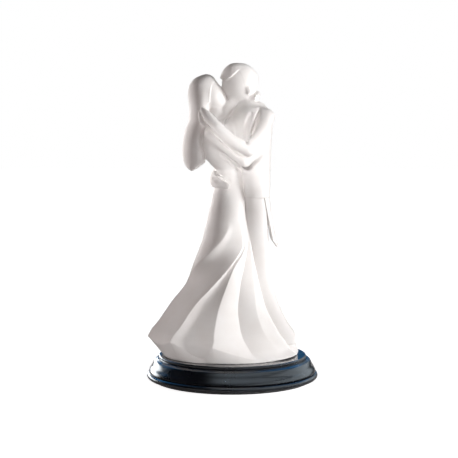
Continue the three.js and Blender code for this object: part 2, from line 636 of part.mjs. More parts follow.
// Who gives way to whom: each piece is cut by the pieces named before it.
const lowered = holes().map((hole) => hole.translate(0, 0, -DECK - SEAM));
const shapes = {
  ...arms,
  bride_hair: hair,
  bride_head: brideHead,
  groom_hair: groomHair,
  groom_left_ear: (grow) => ear(NEAR, grow),
  groom_right_ear: (grow) => ear(FAR, grow),
  groom_head: groomHead,
  gown_bodice: bodice,
  gown_skirt: gownSkirt,
  groom_collar: collar,
  groom_jacket: jacket,
  groom_left_coat_tail: (grow) => coatTail(NEAR, grow),
  groom_right_coat_tail: (grow) => coatTail(FAR, grow),
  groom_left_trouser_leg: (grow) => oneSide(TROUSER_LEG, NEAR, { grow, sides: 18, rings: 9 }),
  groom_right_trouser_leg: (grow) => oneSide(TROUSER_LEG, FAR, { grow, sides: 18, rings: 9 }),
  groom_left_shoe: (grow) => oneSide(SHOE, NEAR, { grow, rings: 3 }),
  groom_right_shoe: (grow) => oneSide(SHOE, FAR, { grow, rings: 3 }),
};
const done = [];
for (const [name, shape] of Object.entries(shapes)) {
  const extra = name === "gown_skirt" ? lowered : [];
  place(couple, name, cutBy(shape(0), ...done.map((other) => other(SEAM)), ...extra), "resin");
  done.push(shape);
}

export default figurine;
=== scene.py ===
# %% [markdown]
# # A wedding couple figurine
# The real object is a cake-topper or mantelpiece figurine: a bride and groom in a close embrace, cast in a
# warm white resin and polished to a satin sheen, standing on a turned base of black lacquer. The figures
# are smooth and faceless, so the whole look rests on clean folds, soft blends where limbs meet, and the
# light on them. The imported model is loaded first. It is the frame: every piece below is made over one of
# its nodes, in place.

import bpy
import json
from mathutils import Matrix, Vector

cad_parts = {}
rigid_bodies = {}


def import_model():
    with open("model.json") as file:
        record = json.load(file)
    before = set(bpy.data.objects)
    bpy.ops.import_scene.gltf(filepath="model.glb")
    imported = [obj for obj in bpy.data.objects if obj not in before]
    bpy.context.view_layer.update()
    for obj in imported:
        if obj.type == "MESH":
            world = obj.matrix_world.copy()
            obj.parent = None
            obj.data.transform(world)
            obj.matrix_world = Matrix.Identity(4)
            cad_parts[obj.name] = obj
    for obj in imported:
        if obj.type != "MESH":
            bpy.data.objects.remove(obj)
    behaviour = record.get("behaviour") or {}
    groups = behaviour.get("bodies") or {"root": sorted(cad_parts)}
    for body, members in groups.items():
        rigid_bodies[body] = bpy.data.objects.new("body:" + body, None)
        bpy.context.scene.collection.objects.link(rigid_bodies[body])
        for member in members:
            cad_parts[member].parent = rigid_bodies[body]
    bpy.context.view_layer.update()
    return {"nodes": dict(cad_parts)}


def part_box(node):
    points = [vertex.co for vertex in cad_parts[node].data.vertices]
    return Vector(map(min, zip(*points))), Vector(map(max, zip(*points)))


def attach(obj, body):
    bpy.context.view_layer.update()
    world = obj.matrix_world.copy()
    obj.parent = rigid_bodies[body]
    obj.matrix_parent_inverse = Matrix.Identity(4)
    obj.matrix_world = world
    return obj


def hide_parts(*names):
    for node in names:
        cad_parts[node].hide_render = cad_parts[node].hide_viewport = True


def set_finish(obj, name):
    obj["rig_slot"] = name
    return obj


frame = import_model()

# %% [markdown]
# ## Working in millimetres above the deck
# The figures stand on the base's flat deck, and every height on them is easiest to think of from there, so
# the shapes are worked out in millimetres above the deck and turned into metres only when a mesh is made.

# %% Units and the deck
import json
import math

import bpy
import numpy as np
import openvdb as vdb
from mathutils import Vector

MM = 0.001
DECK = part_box("gown_skirt")[0].z / MM
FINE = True
print("the figures stand at", round(DECK, 2), "mm; fine meshes:", FINE)

# %% [markdown]
# ## Smooth lines through a few numbers
# A sculptor fixes a few widths and lets the surface run fairly between them. `through` does that: a
# monotone cubic through pairs of place and value, which never swings past the numbers it is given.

# %% Smooth lines


def through(pairs):
    """A smooth line through pairs of (place, value), level beyond its ends."""
    place, value = np.array(sorted(pairs), float).T
    slope = np.diff(value) / np.diff(place)
    tangent = np.zeros(len(place))
    before, after = slope[:-1], slope[1:]
    fair = before * after > 0
    tangent[1:-1][fair] = 2 * before[fair] * after[fair] / (before[fair] + after[fair])

    def at(t):
        t = np.clip(t, place[0], place[-1])
        i = np.clip(np.searchsorted(place, t, side="right") - 1, 0, len(place) - 2)
        width = place[i + 1] - place[i]
        u = (t - place[i]) / width
        rise = u * u * (3 - 2 * u)
        bend = width * (tangent[i] * u * (1 - u) ** 2 - tangent[i + 1] * u * u * (1 - u))
        return value[i] + (value[i + 1] - value[i]) * rise + bend

    return at


print("a smooth line:", through([(0, 0), (1, 2), (2, 3)])(np.array([0.5, 1.5])).round(2))

# %% [markdown]
# ## Lofts: skins over rings of points
# Every body here starts as rings stacked along it, as ribs are in a boat. `loft` skins the ribs with
# four-sided faces and closes both ends. A standing body is a `column`: its level rings follow rows of
# numbers that give, at each height, how far left, right, near and far it reaches.

# %% Lofts


def loft(rings):
    """(points, four-sided faces) of a closed skin over rings that all have the same even count of points."""
    levels, count = rings.shape[:2]
    points = np.vstack([rings.reshape(-1, 3), rings[0].mean(0), rings[-1].mean(0)])
    k, i = np.meshgrid(np.arange(levels - 1) * count, np.arange(count), indexing="ij")
    k, i = k.ravel(), i.ravel()
    step = (i + 1) % count
    faces = [np.stack([k + i, k + step, k + count + step, k + count + i], 1)]
    i = np.arange(0, count, 2)
    low, last = len(points) - 2, (levels - 1) * count
    faces.append(np.stack([np.full_like(i, low), (i + 2) % count, i + 1, i], 1))
    faces.append(np.stack([np.full_like(i, low + 1), last + i, last + i + 1, last + (i + 2) % count], 1))
    return points, np.vstack(faces)


def oval(left, right, near, far, turn, power=2.2):
    """Points on an oval that is squarer than an ellipse where power is over 2."""
    c, s = np.cos(turn), np.sin(turn)
    swell = (np.abs(c) ** power + np.abs(s) ** power) ** (-1 / power)
    half = np.where(s < 0, -near, far)
    return (left + right) / 2 + (right - left) / 2 * c * swell, half * s * swell


def outline(rows):
    """Four smooth lines over the height, one for each number that follows it in the rows."""
    return [through([(row[0], row[k]) for row in rows]) for k in (1, 2, 3, 4)]


def column(rows, power=2.2, rings=70, sides=88):
    """A standing body whose level sections follow rows of height, left, right, near and far."""
    heights = np.linspace(rows[0][0], rows[-1][0], rings)[:, None]
    turn = np.linspace(0, 2 * np.pi, sides, endpoint=False)[None, :]
    left, right, near, far = [side(heights) for side in outline(rows)]
    middle, half = (near + far) / 2, (far - near) / 2
    x, y = oval(left, right, -half, half, turn, power)
    return loft(np.stack([x, y + middle, np.broadcast_to(heights, x.shape)], -1))


print("a test column has", len(column([[0, -1, 1, -1, 1], [9, -1, 1, -1, 1]])[0]), "points")

# %% [markdown]
# ## Limbs: lofts along a path
# An arm bends, so its ribs stand square to a smooth curve through its joints instead of lying level, and
# its ends are closed by a few rings that shrink as those of a ball do. A hand is a limb made flat: its ribs
# are wider than they are thick, and `face` says which way the palm looks.

# %% Limbs
CAP_RINGS = 9


def unit(v):
    """The same directions with a length of 1."""
    return v / np.maximum(np.linalg.norm(v, axis=-1, keepdims=True), 1e-9)


def path_through(points, steps, cuts=24):
    """Evenly spaced points along a smooth curve through points, and the share of the way to each of these."""
    p = np.array(points, float)
    p = np.vstack([2 * p[0] - p[1], p, 2 * p[-1] - p[-2]])
    out = []
    for a, b, c, d in zip(p[:-3], p[1:-2], p[2:-1], p[3:]):
        u = np.linspace(0, 1, cuts, endpoint=False)[:, None]
        m0, m1 = (c - a) / 2, (d - b) / 2
        out.append((2 * u**3 - 3 * u**2 + 1) * b + (u**3 - 2 * u**2 + u) * m0
                   + (3 * u**2 - 2 * u**3) * c + (u**3 - u**2) * m1)
    line = np.vstack([*out, p[-2:-1]])
    run = np.concatenate([[0], np.cumsum(np.linalg.norm(np.diff(line, axis=0), axis=1))])
    marks = np.array([run[cuts * i] for i in range(len(points))]) / run[-1]
    want = np.linspace(0, 1, steps) * run[-1]
    return np.stack([np.interp(want, run, line[:, k]) for k in range(3)], -1), marks


def limb(joints, face=(0, 1, 0), steps=44, sides=36):
    """A round-ended limb along joints of point, half width and half thickness; face is where a palm looks."""
    line, marks = path_through([j[0] for j in joints], steps)
    wide = through([(m, j[1]) for m, j in zip(marks, joints)])
    thick = through([(m, j[-1]) for m, j in zip(marks, joints)])
    along = unit(np.gradient(line, axis=0))
    across = unit(np.cross(along, np.array(face, float)))
    flat = unit(np.cross(across, along))
    cap = np.sin(np.linspace(0.02, 1, CAP_RINGS) * np.pi / 2)
    fall = np.sqrt(1 - cap**2)
    u = np.concatenate([np.zeros(CAP_RINGS), np.linspace(0, 1, steps), np.ones(CAP_RINGS)])
    i = np.concatenate([np.zeros(CAP_RINGS, int), np.arange(steps), np.full(CAP_RINGS, steps - 1)])
    full = np.concatenate([cap, np.ones(steps), cap[::-1]])
    out = np.concatenate([-fall, np.zeros(steps), fall[::-1]])
    middle = line[i] + along[i] * (out * thick(u))[:, None]
    turn = np.linspace(0, 2 * np.pi, sides, endpoint=False)
    w, t = (wide(u) * full)[:, None, None], (thick(u) * full)[:, None, None]
    return loft(middle[:, None] + across[i][:, None] * w * np.cos(turn)[None, :, None]
                - flat[i][:, None] * t * np.sin(turn)[None, :, None])


print("a test limb has", len(limb([((0, 0, 0), 2), ((0, 0, 9), 1)])[0]), "points")

# %% [markdown]
# ## Modelling as in clay: distance fields
# Where an arm meets a shoulder on a casting there is no seam, only a soft hollow. Meshes can't blend like
# that, but fields can: each body becomes a grid of distances to its skin, and two grids are joined by a
# minimum that is rounded off near their crossing. The library of sparse grids that comes with the program
# for its own remeshing makes the grids and skins the result. Each cell also remembers whose skin is
# nearest, so that the finished clay can be cut back into pieces.

# %% A block of clay
# A cell's width, and how far from a skin its distances are known.
VOXEL = 0.42 if FINE else 0.7
BAND = 5.0


class Clay:
    """A block of cells that know how far off the clay's skin is, and whose body is nearest."""

    def __init__(self, low, high):
        self.low = np.floor(np.array(low, float) / VOXEL).astype(int)
        self.size = np.ceil(np.array(high, float) / VOXEL).astype(int) - self.low
        self.field = np.full(self.size, BAND, np.float32)
        self.bare = self.field.copy()
        self.owner = np.zeros(self.size, np.int16)
        self.names = []

    def of(self, body):
        """(window, distances) of a body: negative inside, known up to BAND from its skin."""
        points, faces = body
        low = np.maximum(np.floor((points.min(0) - BAND) / VOXEL).astype(int) - self.low, 0)
        high = np.minimum(np.ceil((points.max(0) + BAND) / VOXEL).astype(int) - self.low, self.size)
        grid = vdb.FloatGrid.createLevelSetFromPolygons(
            points.astype(np.float32), quads=faces.astype(np.uint32),
            transform=vdb.createLinearTransform(voxelSize=VOXEL), halfWidth=BAND / VOXEL)
        block = np.zeros(high - low, np.float32)
        grid.copyToArray(block, ijk=tuple(int(v) for v in low + self.low))
        return tuple(slice(a, b) for a, b in zip(low, high)), block

    def places(self, window):
        """The x, y and height of each cell in a window, as arrays that fit it."""
        axes = [np.arange(s.start, s.stop) + low for s, low in zip(window, self.low)]
        x, y, h = [a.astype(np.float32) * VOXEL for a in axes]
        return x[:, None, None], y[None, :, None], h[None, None, :]

    def add(self, name, window, block, soft):
        """Joins a field on; soft is the width in mm over which it blends, a number or a function of place."""
        if name not in self.names:
            self.names.append(name)
        k = np.asarray(soft(*self.places(window)) if callable(soft) else soft, np.float32)
        was = self.field[window]
        blend = np.maximum(k - np.abs(was - block), 0) / k
        self.field[window] = np.minimum(was, block) - blend * blend * k / 4
        closer = block < self.bare[window]
        self.owner[window] = np.where(closer, self.names.index(name), self.owner[window])
        self.bare[window] = np.minimum(self.bare[window], block)

    def carve(self, body, soft):
        """Takes a body away, with an edge rounded by soft."""
        window, block = self.of(body)
        was, cut = self.field[window], -block
        blend = np.maximum(soft - np.abs(was - cut), 0) / soft
        self.field[window] = np.maximum(was, cut) + blend * blend * soft / 4

    def press(self, name, body, soft):
        """Joins on a body of points and faces."""
        self.add(name, *self.of(body), soft)


def joined(clay, bodies, soft):
    """One field of several bodies blended together, before it goes on the clay."""
    low = np.min([b[0].min(0) for b in bodies], 0)
    high = np.max([b[0].max(0) for b in bodies], 0)
    part = Clay(low - BAND, high + BAND)
    for body in bodies:
        part.press("part", body, soft)
    start = np.maximum(part.low, clay.low)
    stop = np.minimum(part.low + part.size, clay.low + clay.size)
    window = tuple(slice(a, b) for a, b in zip(start - clay.low, stop - clay.low))
    inner = tuple(slice(a, b) for a, b in zip(start - part.low, stop - part.low))
    return window, part.field[inner]


clay = Clay((-46, -36, 98), (42, 36, 230))
print("a block of", int(clay.size.prod()), "cells of", VOXEL, "mm")

# %% [markdown]
# ## The bride's body
# The gown's bodice rises from a narrow waist, leans to the left over her back and ends at rounded
# shoulders. It is a column whose left side bulges at the shoulder blades, as the side view of any figure
# does. It goes on below the waist inside the skirt, so that no edge shows there.

# %% Bodice
BODICE = [
    [118, -14.5, 10, -12, 12], [130, -13.9, 9.6, -11.2, 11.2], [137, -13.4, 9, -10.8, 10.8],
    [143, -13, 8.3, -10, 10], [147, -16.3, 8.2, -11.5, 11.5], [152, -20.6, 8, -14, 14],
    [159, -23.4, 7.6, -16.2, 16.2], [167, -24.2, 5.6, -17.2, 17.2], [173, -22.6, 3.8, -16.4, 16.4],
    [178, -19.4, 3.6, -12.6, 12.6], [183, -14, 3.4, -7, 7], [187, -10, 2.6, -3, 3],
]
clay.press("bodice", column(BODICE), 1)
print("bodice, top at", BODICE[-1][0], "mm")

# %% [markdown]
# ## Heads
# The heads are smooth eggs with no features: round at the crown, narrower at the chin, leaning cheek to
# cheek. The rings of the egg are spaced by angle, so they crowd at the poles and the ends stay round. A
# neck is a short limb into the head, and hers has a second one behind it for the nape.

# %% Heads and necks
BRIDE_HEAD = dict(at=(-17, 0, 200.6), tilt=-31, face=10.3, deep=13.4, broad=11.6, tall=16, facing=1, flat=0.5)
GROOM_HEAD = dict(at=(6.4, 0, 209.8), tilt=-16, face=14.4, deep=14.4, broad=12, tall=15.4, facing=-1,
                  flat=0.86)


def head(at, tilt, face, deep, broad, tall, facing, flat, rings=60, sides=88):
    """A smooth egg with a narrow chin; its face looks along x where facing is 1, and back where it is -1."""
    k = (np.arange(1, rings) / rings * np.pi)[:, None]
    rise, around = -np.cos(k), np.sin(k)
    turn = np.linspace(0, 2 * np.pi, sides, endpoint=False)[None, :]
    below = np.where(rise < 0, rise, 0)
    front = face * around**flat * (1 - 0.1 * below**2)
    back = deep * around**0.9 * (1 + 0.42 * below)
    ahead = np.clip(0.5 + 4 * np.cos(turn) * facing, 0, 1)
    x = (back + (front - back) * ahead) * np.cos(turn)
    y = broad * around * (1 - 0.2 * below**2) * np.sin(turn)
    z = np.broadcast_to(tall * rise, x.shape)
    a = math.radians(tilt)
    turned = np.stack([x * math.cos(a) + z * math.sin(a), y, -x * math.sin(a) + z * math.cos(a)], -1)
    return loft(turned + np.array(at))


bride_neck = limb([((-14, 0, 174), 6.4), ((-9.6, -1, 182), 5.8), ((-3.4, -1, 190.4), 5.8),
                   ((1.2, -1, 196), 5)])
groom_neck = limb([((14.6, 0, 186), 7.4), ((12, 0, 196), 6.4), ((7, 0, 207), 6.6)])
bride_nape = limb([((-19, -5, 176), 5.4), ((-13, -3.4, 187), 6)])
clay.add("bride_head", *joined(clay, [head(**BRIDE_HEAD), bride_neck, bride_nape], 1.6), 1.6)
print("bride's head centred at", BRIDE_HEAD["at"])

# %% [markdown]
# ## The groom's tailcoat, collar and head
# The coat's body is a squarer column than hers, wide at the shoulders. The collar is a low cone that
# carries the neck. On the casting all of them run into each other, so each is pressed on with a blend of a
# few millimetres.

# %% Coat, collar and head
JACKET_HEM = 122
JACKET = [
    [JACKET_HEM, 8.4, 29.2, -15.6, 15.6], [132, 8, 29.5, -15.8, 15.8], [146, 6.4, 29.7, -16.8, 16.8],
    [160, 2.6, 30.2, -19, 19], [173, 0.8, 30.6, -21, 21], [184, 1.6, 30, -21.6, 21.6],
    [190, 4.8, 28, -18, 18], [194.5, 9, 24.4, -10, 10],
]
COLLAR = [
    [186, 3.4, 26, -12, 12], [191.5, 3, 23.6, -10.6, 10.6], [196, 4.6, 20.2, -8.6, 8.6],
    [199, 6.4, 17.5, -6.6, 6.6],
]
# The coat's front edge is lost in her bodice at the chest and shows as a line below the arms.
clay.press("jacket", column(JACKET, 2.4), lambda x, y, h: 1 + 5 * np.clip((h - 158) / 12, 0, 1))
clay.press("collar", column(COLLAR), 4)
clay.add("groom_head", *joined(clay, [head(**GROOM_HEAD), groom_neck], 4), 2.5)
print("coat from", JACKET[0][0], "to", JACKET[-1][0], "mm")

# %% [markdown]
# ## Arms and hands
# Each arm is a limb from shoulder to fingertips, blended with itself at the elbow. It joins the body with a
# wide blend at the shoulder and a narrow one towards the hand, where a clean line shows between hand and
# hair. The blend is therefore a function of place: wide near the shoulder point, narrow far from it.

# %% Arms


def from_point(point, near_soft, far_soft, reach):
    """A blend width that falls from near_soft at a point to far_soft a reach away from it."""
    def soft(x, y, h):
        away = np.sqrt((x - point[0]) ** 2 + (y - point[1]) ** 2 + (h - point[2]) ** 2) / reach
        return far_soft + (near_soft - far_soft) * np.clip(1 - away, 0, 1)
    return soft


# Each joint is a point and a half width, and a half thickness where the limb is flat.
ARMS = {
    "groom_near_upper_arm": [((25.5, -15.6, 183.6), 6.8), ((21.2, -21.4, 171), 5.9),
                             ((12, -26.2, 159.6), 5.3)],
    "groom_near_forearm": [((12, -26.4, 159.4), 5.3), ((0, -25.6, 166), 4.6), ((-11, -21.6, 176), 3.9)],
    "groom_near_hand": [((-10, -22, 175), 3.9, 3.7), ((-14.6, -20.4, 179.6), 3.9, 2.8),
                        ((-19, -18.6, 184.6), 3.5, 2.2), ((-21.9, -16.8, 188.4), 2.4, 1.6),
                        ((-23, -15.8, 190), 1.7, 1.2)],
    "groom_far_upper_arm": [((22.6, 16.6, 184), 6.8), ((12, 23, 171), 5.4), ((4, 26, 160), 4.8)],
    "groom_far_forearm": [((4, 26, 160), 4.8), ((-6, 21, 149), 4.1), ((-12.6, 13.6, 140.4), 3.5)],
    "groom_far_hand": [((-12.6, 13.6, 140.4), 3.5, 2.8), ((-14.8, 6, 138.2), 5.2, 2.5),
                       ((-14.4, -3, 136.4), 6.2, 2.5), ((-9.8, -9.6, 134.4), 5, 2.2),
                       ((-4.8, -12, 132), 3.3, 1.8), ((-3.2, -12.6, 131.2), 2.6, 1.4)],
    "bride_near_upper_arm": [((-15.6, -13.6, 171), 6), ((-3, -19.6, 160.6), 5.2), ((9, -22.4, 150.6), 4.8)],
    "bride_near_forearm": [((9, -22.4, 150.6), 4.8), ((18.6, -22.6, 158), 4.2), ((26, -21, 168.6), 3.5)],
    "bride_near_hand": [((26, -21, 168.6), 3.6, 2.6), ((28.6, -16.4, 172.6), 3.4, 1.6),
                        ((29.4, -9, 176), 2.2, 1.2)],
    "bride_far_upper_arm": [((-15.6, 12.6, 172), 6), ((-12, 12.4, 178), 4.8), ((-8.6, 12, 183.4), 4.2)],
    "bride_far_forearm": [((-8.6, 12, 183.4), 4.2), ((0, 12, 193.2), 3.9), ((10, 12.6, 200), 3.4)],
    "bride_far_hand": [((10, 12.6, 200), 3.4, 2.8), ((16.6, 9.2, 201.4), 3.3, 2),
                       ((19.8, 2, 201.2), 2.9, 1.7), ((19.4, -5.2, 200), 2.5, 1.5),
                       ((17.6, -9, 199), 1.9, 1.1)],
}
PALMS = {
    "groom_near_hand": (0.35, 1, -0.2), "groom_far_hand": (1, 0.8, 0),
    "bride_near_hand": (-1, 0.7, 0), "bride_far_hand": (-1, -0.6, 0),
}


def press_arm(which, shoulder, wide, narrow, reach):
    """Presses an arm on: a wide blend at the shoulder falls to a narrow one a reach away."""
    for part in ("upper_arm", "forearm", "hand"):
        name = f"{which}_{part}"
        arm = limb(ARMS[name], PALMS.get(name, (0, 1, 0)))
        clay.press(name, arm, from_point(shoulder, wide, narrow, reach))
    print(which, "arm pressed on, from", shoulder)


press_arm("bride_far", (-15.6, 12.6, 172), 4.6, 2.4, 26)
press_arm("groom_far", (22.6, 16.6, 184), 4.6, 1.4, 30)
press_arm("bride_near", (-15.6, -13.6, 171), 4.8, 1.6, 34)

# %% [markdown]
# ## Her hair
# Her hair falls down her back in one long teardrop with a straight lower edge. Over the skull it is only a
# skin: the head itself, grown by up to a millimetre, which stops at a clean edge beside her face. The fall
# below is a column, sheared a little so that the side towards him comes forward, and blended into that skin
# at the top.

# %% Her hair
HAIR = [
    [142.6, -32.4, -30.6, -1, 1], [144.6, -35, -27, -4.6, 4.6], [150.5, -38.2, -20.8, -8.4, 8.4],
    [158, -39, -21.6, -10.6, 10.6], [166, -38.4, -22.6, -11.2, 11.2], [174, -36.8, -20.6, -11, 11],
    [182, -34, -18.6, -11.4, 11.4], [190, -33.7, -17.9, -12.8, 12.8], [200, -34.3, -17.2, -13.4, 13.4],
    [208, -33, -16.2, -12, 12], [212.4, -30, -15.6, -9, 9], [214.4, -27, -17, -5.4, 5.4],
    [215, -24, -19, -2, 2],
]
LOCK_EDGE = through([(180, -18.4), (187, -18.2), (199, -17.4), (205, -16.6), (209, -15.6), (213, -13.6),
                     (217, -11)])
LOCK_THICKNESS = through([(190, 1), (203, 0.9), (209, 0.5), (213, 0.1), (216, 0.05)])
LOCK_FOOT = 196
HAIR_TURN = through([(143, 0.45), (180, 0.6), (198, 0.4), (212, 0)])
HAIR_MIDDLE = through([(row[0], (row[1] + row[2]) / 2) for row in HAIR])
window, skull = clay.of(head(**BRIDE_HEAD))
x, y, h = clay.places(window)
ahead = (x - LOCK_EDGE(h)).astype(np.float32)
beyond = np.maximum(ahead, (LOCK_FOOT - h) * 0.6)
clay.add("hair_fall", window, np.maximum(skull - LOCK_THICKNESS(h), beyond), 0.8)
fall_points, fall_faces = column(HAIR)
fall_height = fall_points[:, 2]
fall_points[:, 1] -= HAIR_TURN(fall_height) * (fall_points[:, 0] - HAIR_MIDDLE(fall_height))
clay.press("hair_fall", (fall_points, fall_faces), lambda x, y, h: 1 + 3 * np.clip((h - 186) / 10, 0, 1))
print("her hair from", HAIR[0][0], "to", HAIR[-1][0], "mm")

# %% [markdown]
# ## His hair and ears
# His hair is a cap: the skull once more, grown by an amount that changes from place to place. It is thick
# over the brow, where its edge is a small step, and thins towards the back. Behind the temple the edge is a
# ramp so long that no line shows, as on the casting. Below the hairline the cap is cut away. The ears are
# small rounded drops.

# %% His hair and ears
HAIRLINE = through([(-14, 213.4), (-8, 213), (-4.5, 212.8), (-1, 214.2), (1.6, 216.6), (4.4, 218.6), (7, 216),
                    (9.2, 209), (10.6, 205.4), (14, 201), (19, 198), (26, 195)])
BROW = through([(-14, 213.4), (-8, 213), (-4.5, 212.8), (-1, 214.2), (1.6, 216.4), (4.4, 218), (10, 220),
                (24, 222)])
# Even at its thinnest it stands this far off the skull, and so it is still a piece of its own.
CAP_EDGE = 0.06
CAP_THICKNESS = through([(-10, 1.5), (-2, 1.5), (2, 1), (5, 0.45), (8, 0.15), (12, 0.06), (24, 0.05)])
CAP_RAMP = through([(-10, 0.7), (2, 0.8), (5, 3), (8, 7), (12, 12), (24, 14)])
window, skull = clay.of(head(**GROOM_HEAD))
x, y, h = clay.places(window)
climb = np.clip((h - BROW(x)) / CAP_RAMP(x), 0, 1)
thick = CAP_EDGE + CAP_THICKNESS(x) * climb**2 * (3 - 2 * climb)
below_line = np.clip((HAIRLINE(x) - h) * 0.8, -20, 20)
clay.add("groom_hair", window, np.maximum(skull - thick, below_line).astype(np.float32), 0.4)
for side, name in ((-1, "near_ear"), (1, "far_ear")):
    ear = limb([((12.3, side * 10, 202.4), 1.1, 0.9), ((12.8, side * 10.4, 204), 1.6, 1),
                ((12.4, side * 10.3, 205.6), 1.3, 0.9)])
    clay.press(name, ear, 2.6)
print("his cap is up to", float(thick.max().round(2)), "mm thick")

# %% [markdown]
# ## His near arm, over her hair
# The near arm goes on after the hair, so that the hand lies on it with a clean line. The edge of the palm
# shows beyond the fingers as a thin strip.

# %% The near arm
press_arm("groom_near", (25, -16, 184), 3.6, 0.8, 20)
palm_edge = limb([((-23.6, -15.4, 189.4), 0.8), ((-24.3, -15, 186), 1.6), ((-23.6, -15.2, 181.8), 1.9),
                  ((-21.2, -15.8, 178.4), 1.7), ((-17.6, -17, 175.2), 1)])
clay.press("groom_near_hand", palm_edge, 0.6)

# %% [markdown]
# ## Folds and creases
# Last come the folds, cut as a sculptor cuts them: with a thin tool drawn along the near surface. `stroke`
# looks up how far forward the clay stands at each place, so the rows give only where the tool goes, how
# wide it is and how deep. Two deep strokes part the chest from the arm and the lapel from the chest. Fine
# ones sharpen the edge of her neck and the lines where two limbs touch, and a broad shallow one hollows the
# palm at her waist.

# %% Folds and creases
def stroke(rows, soft):
    """Cuts a groove along the near surface; rows of x, height, half width and depth, in mm."""
    line, marks = path_through([(x, 0, h) for x, h, _, _ in rows], 4 * len(rows))
    run = np.linspace(0, 1, len(line))
    half, depth = [np.interp(run, marks, [row[k] for row in rows]) for k in (2, 3)]
    for point in line:
        i, k = round(point[0] / VOXEL) - clay.low[0], round(point[2] / VOXEL) - clay.low[2]
        first = int(np.argmax(clay.field[i, :, k] < 0))
        before, after = clay.field[i, first - 1, k], clay.field[i, first, k]
        point[1] = (clay.low[1] + first - 1 + before / (before - after)) * VOXEL
    line[1:-1, 1] = line[:-2, 1] / 4 + line[1:-1, 1] / 2 + line[2:, 1] / 4
    clay.carve(limb(list(zip(line, half, depth)), (0, 1, 0), steps=80, sides=24), soft)


STROKES = {
    "arm and chest": ([(20.8, 190.4, 0.6, 0.8), (19.3, 184.8, 1.4, 3.6), (17.6, 178.6, 1.8, 4.8),
                       (15.6, 172.8, 1.7, 4.6), (14.2, 169.4, 1, 2)], 0.9),
    "lapel": ([(14, 186.4, 0.8, 0.6), (11.8, 180.6, 1.7, 1.8), (10.7, 174.5, 1.9, 2.4),
               (10.4, 168.4, 1.6, 1.8), (11, 164, 0.8, 0.6)], 2.0),
    "under his forearm": ([(-19.4, 176.2, 0.5, 0.3), (-13.8, 170.9, 0.9, 1.1), (-7.3, 164.8, 1, 1.3),
                           (-0.5, 158.4, 1, 1.3), (4.8, 154.6, 0.9, 1), (10.4, 153.2, 0.5, 0.3)], 0.8),
    "under her arm": ([(-9, 155.2, 0.6, 0.3), (-1, 149.2, 1.1, 1.3), (4, 145.4, 1.1, 1.6),
                       (7.8, 143.2, 0.7, 0.6)], 1.4),
    "between the faces": ([(-7.4, 204.6, 0.6, 1.2), (-5.2, 200.6, 0.9, 2), (-3.6, 197.4, 0.6, 1.2)], 0.6),
    "collar": ([(5, 195.8, 0.5, 0.3), (9, 197.2, 0.8, 0.8), (14.4, 196.4, 0.5, 0.3)], 1.0),
    "fingers at the nape": ([(17.2, 199.6, 0.5, 0.4), (18.6, 198.2, 0.7, 1.3), (20, 196.8, 0.5, 0.5)], 0.5),
    "fingers at the waist": ([(-12.4, 139.8, 0.6, 0.8), (-7.8, 137.4, 1.3, 3.6),
                              (-2.6, 134.6, 0.8, 1.4)], 0.4),
    "palm at the waist": ([(-15, 137, 1, 0.3), (-11.4, 134.6, 2.2, 1.1), (-6.6, 132, 1.6, 0.5)], 1.6),
    "neck": ([(4.4, 194.8, 0.5, 0.4), (0.6, 189.4, 0.9, 1.4), (-3.4, 183.4, 0.9, 1.6),
              (-7, 178.2, 0.6, 0.8)], 0.6),
}
for place, (rows, soft) in STROKES.items():
    stroke(rows, soft)
    print("cut:", place)

# %% [markdown]
# ## Cutting the clay back into pieces
# The skin of the clay is taken as quads. Each face goes to the piece whose own body is nearest, so the
# coat, each arm and each head are still pieces of their own, and the normals come from the field, so that
# no line shows where one piece ends.

# %% Skinning the clay


def skin(clay):
    """(points, quads, normals, owner of each quad) of the clay's surface."""
    grid = vdb.FloatGrid(BAND)
    grid.copyFromArray(clay.field, tolerance=0.0)
    points, quads = grid.convertToQuads(isovalue=0)
    place = np.clip(points, 1, np.array(clay.size) - 2.001)
    cell = place.astype(int)
    part = place - cell
    normals = np.zeros_like(points)
    slopes = np.gradient(clay.field)
    for corner in np.ndindex(2, 2, 2):
        weight = np.prod(np.abs(1 - np.array(corner) - part), axis=1)
        i, j, k = (cell + corner).T
        normals += weight[:, None] * np.stack([s[i, j, k] for s in slopes], -1)
    middle = np.round(points[quads].mean(1)).astype(int)
    owner = clay.owner[tuple(middle.T)]
    return (points + clay.low) * VOXEL, quads, unit(normals), owner


points, quads, normals, owner = skin(clay)
print("the clay's skin has", len(quads), "quads, owned as",
      {name: int((owner == i).sum()) for i, name in enumerate(clay.names)})

# %% [markdown]
# ## Making Blender objects
# One helper turns points and faces into a smooth object, in metres, on the deck. It also hides the nodes of
# the imported model that the piece stands for, and says which finish it takes. The clay's pieces keep their
# open
# edges: each edge lies on a neighbour's, so the couple reads as one casting.

# %% Objects


def make_piece(name, points, faces, material_slot, nodes, normals=None, lift=DECK):
    """A smooth piece that rides on the body, stands for its CAD nodes and takes a slot's finish."""
    world = (np.asarray(points, float) + [0, 0, lift]) * MM
    mesh = bpy.data.meshes.new(name)
    mesh.from_pydata(world.tolist(), [], [tuple(f) for f in np.asarray(faces).tolist()])
    mesh.validate()
    mesh.update()
    mesh.shade_smooth()
    if normals is not None:
        mesh.normals_split_custom_set_from_vertices(normals.tolist())
    piece = bpy.data.objects.new(name, mesh)
    bpy.context.scene.collection.objects.link(piece)
    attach(piece, "root")
    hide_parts(*nodes)
    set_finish(piece, material_slot)
    return piece


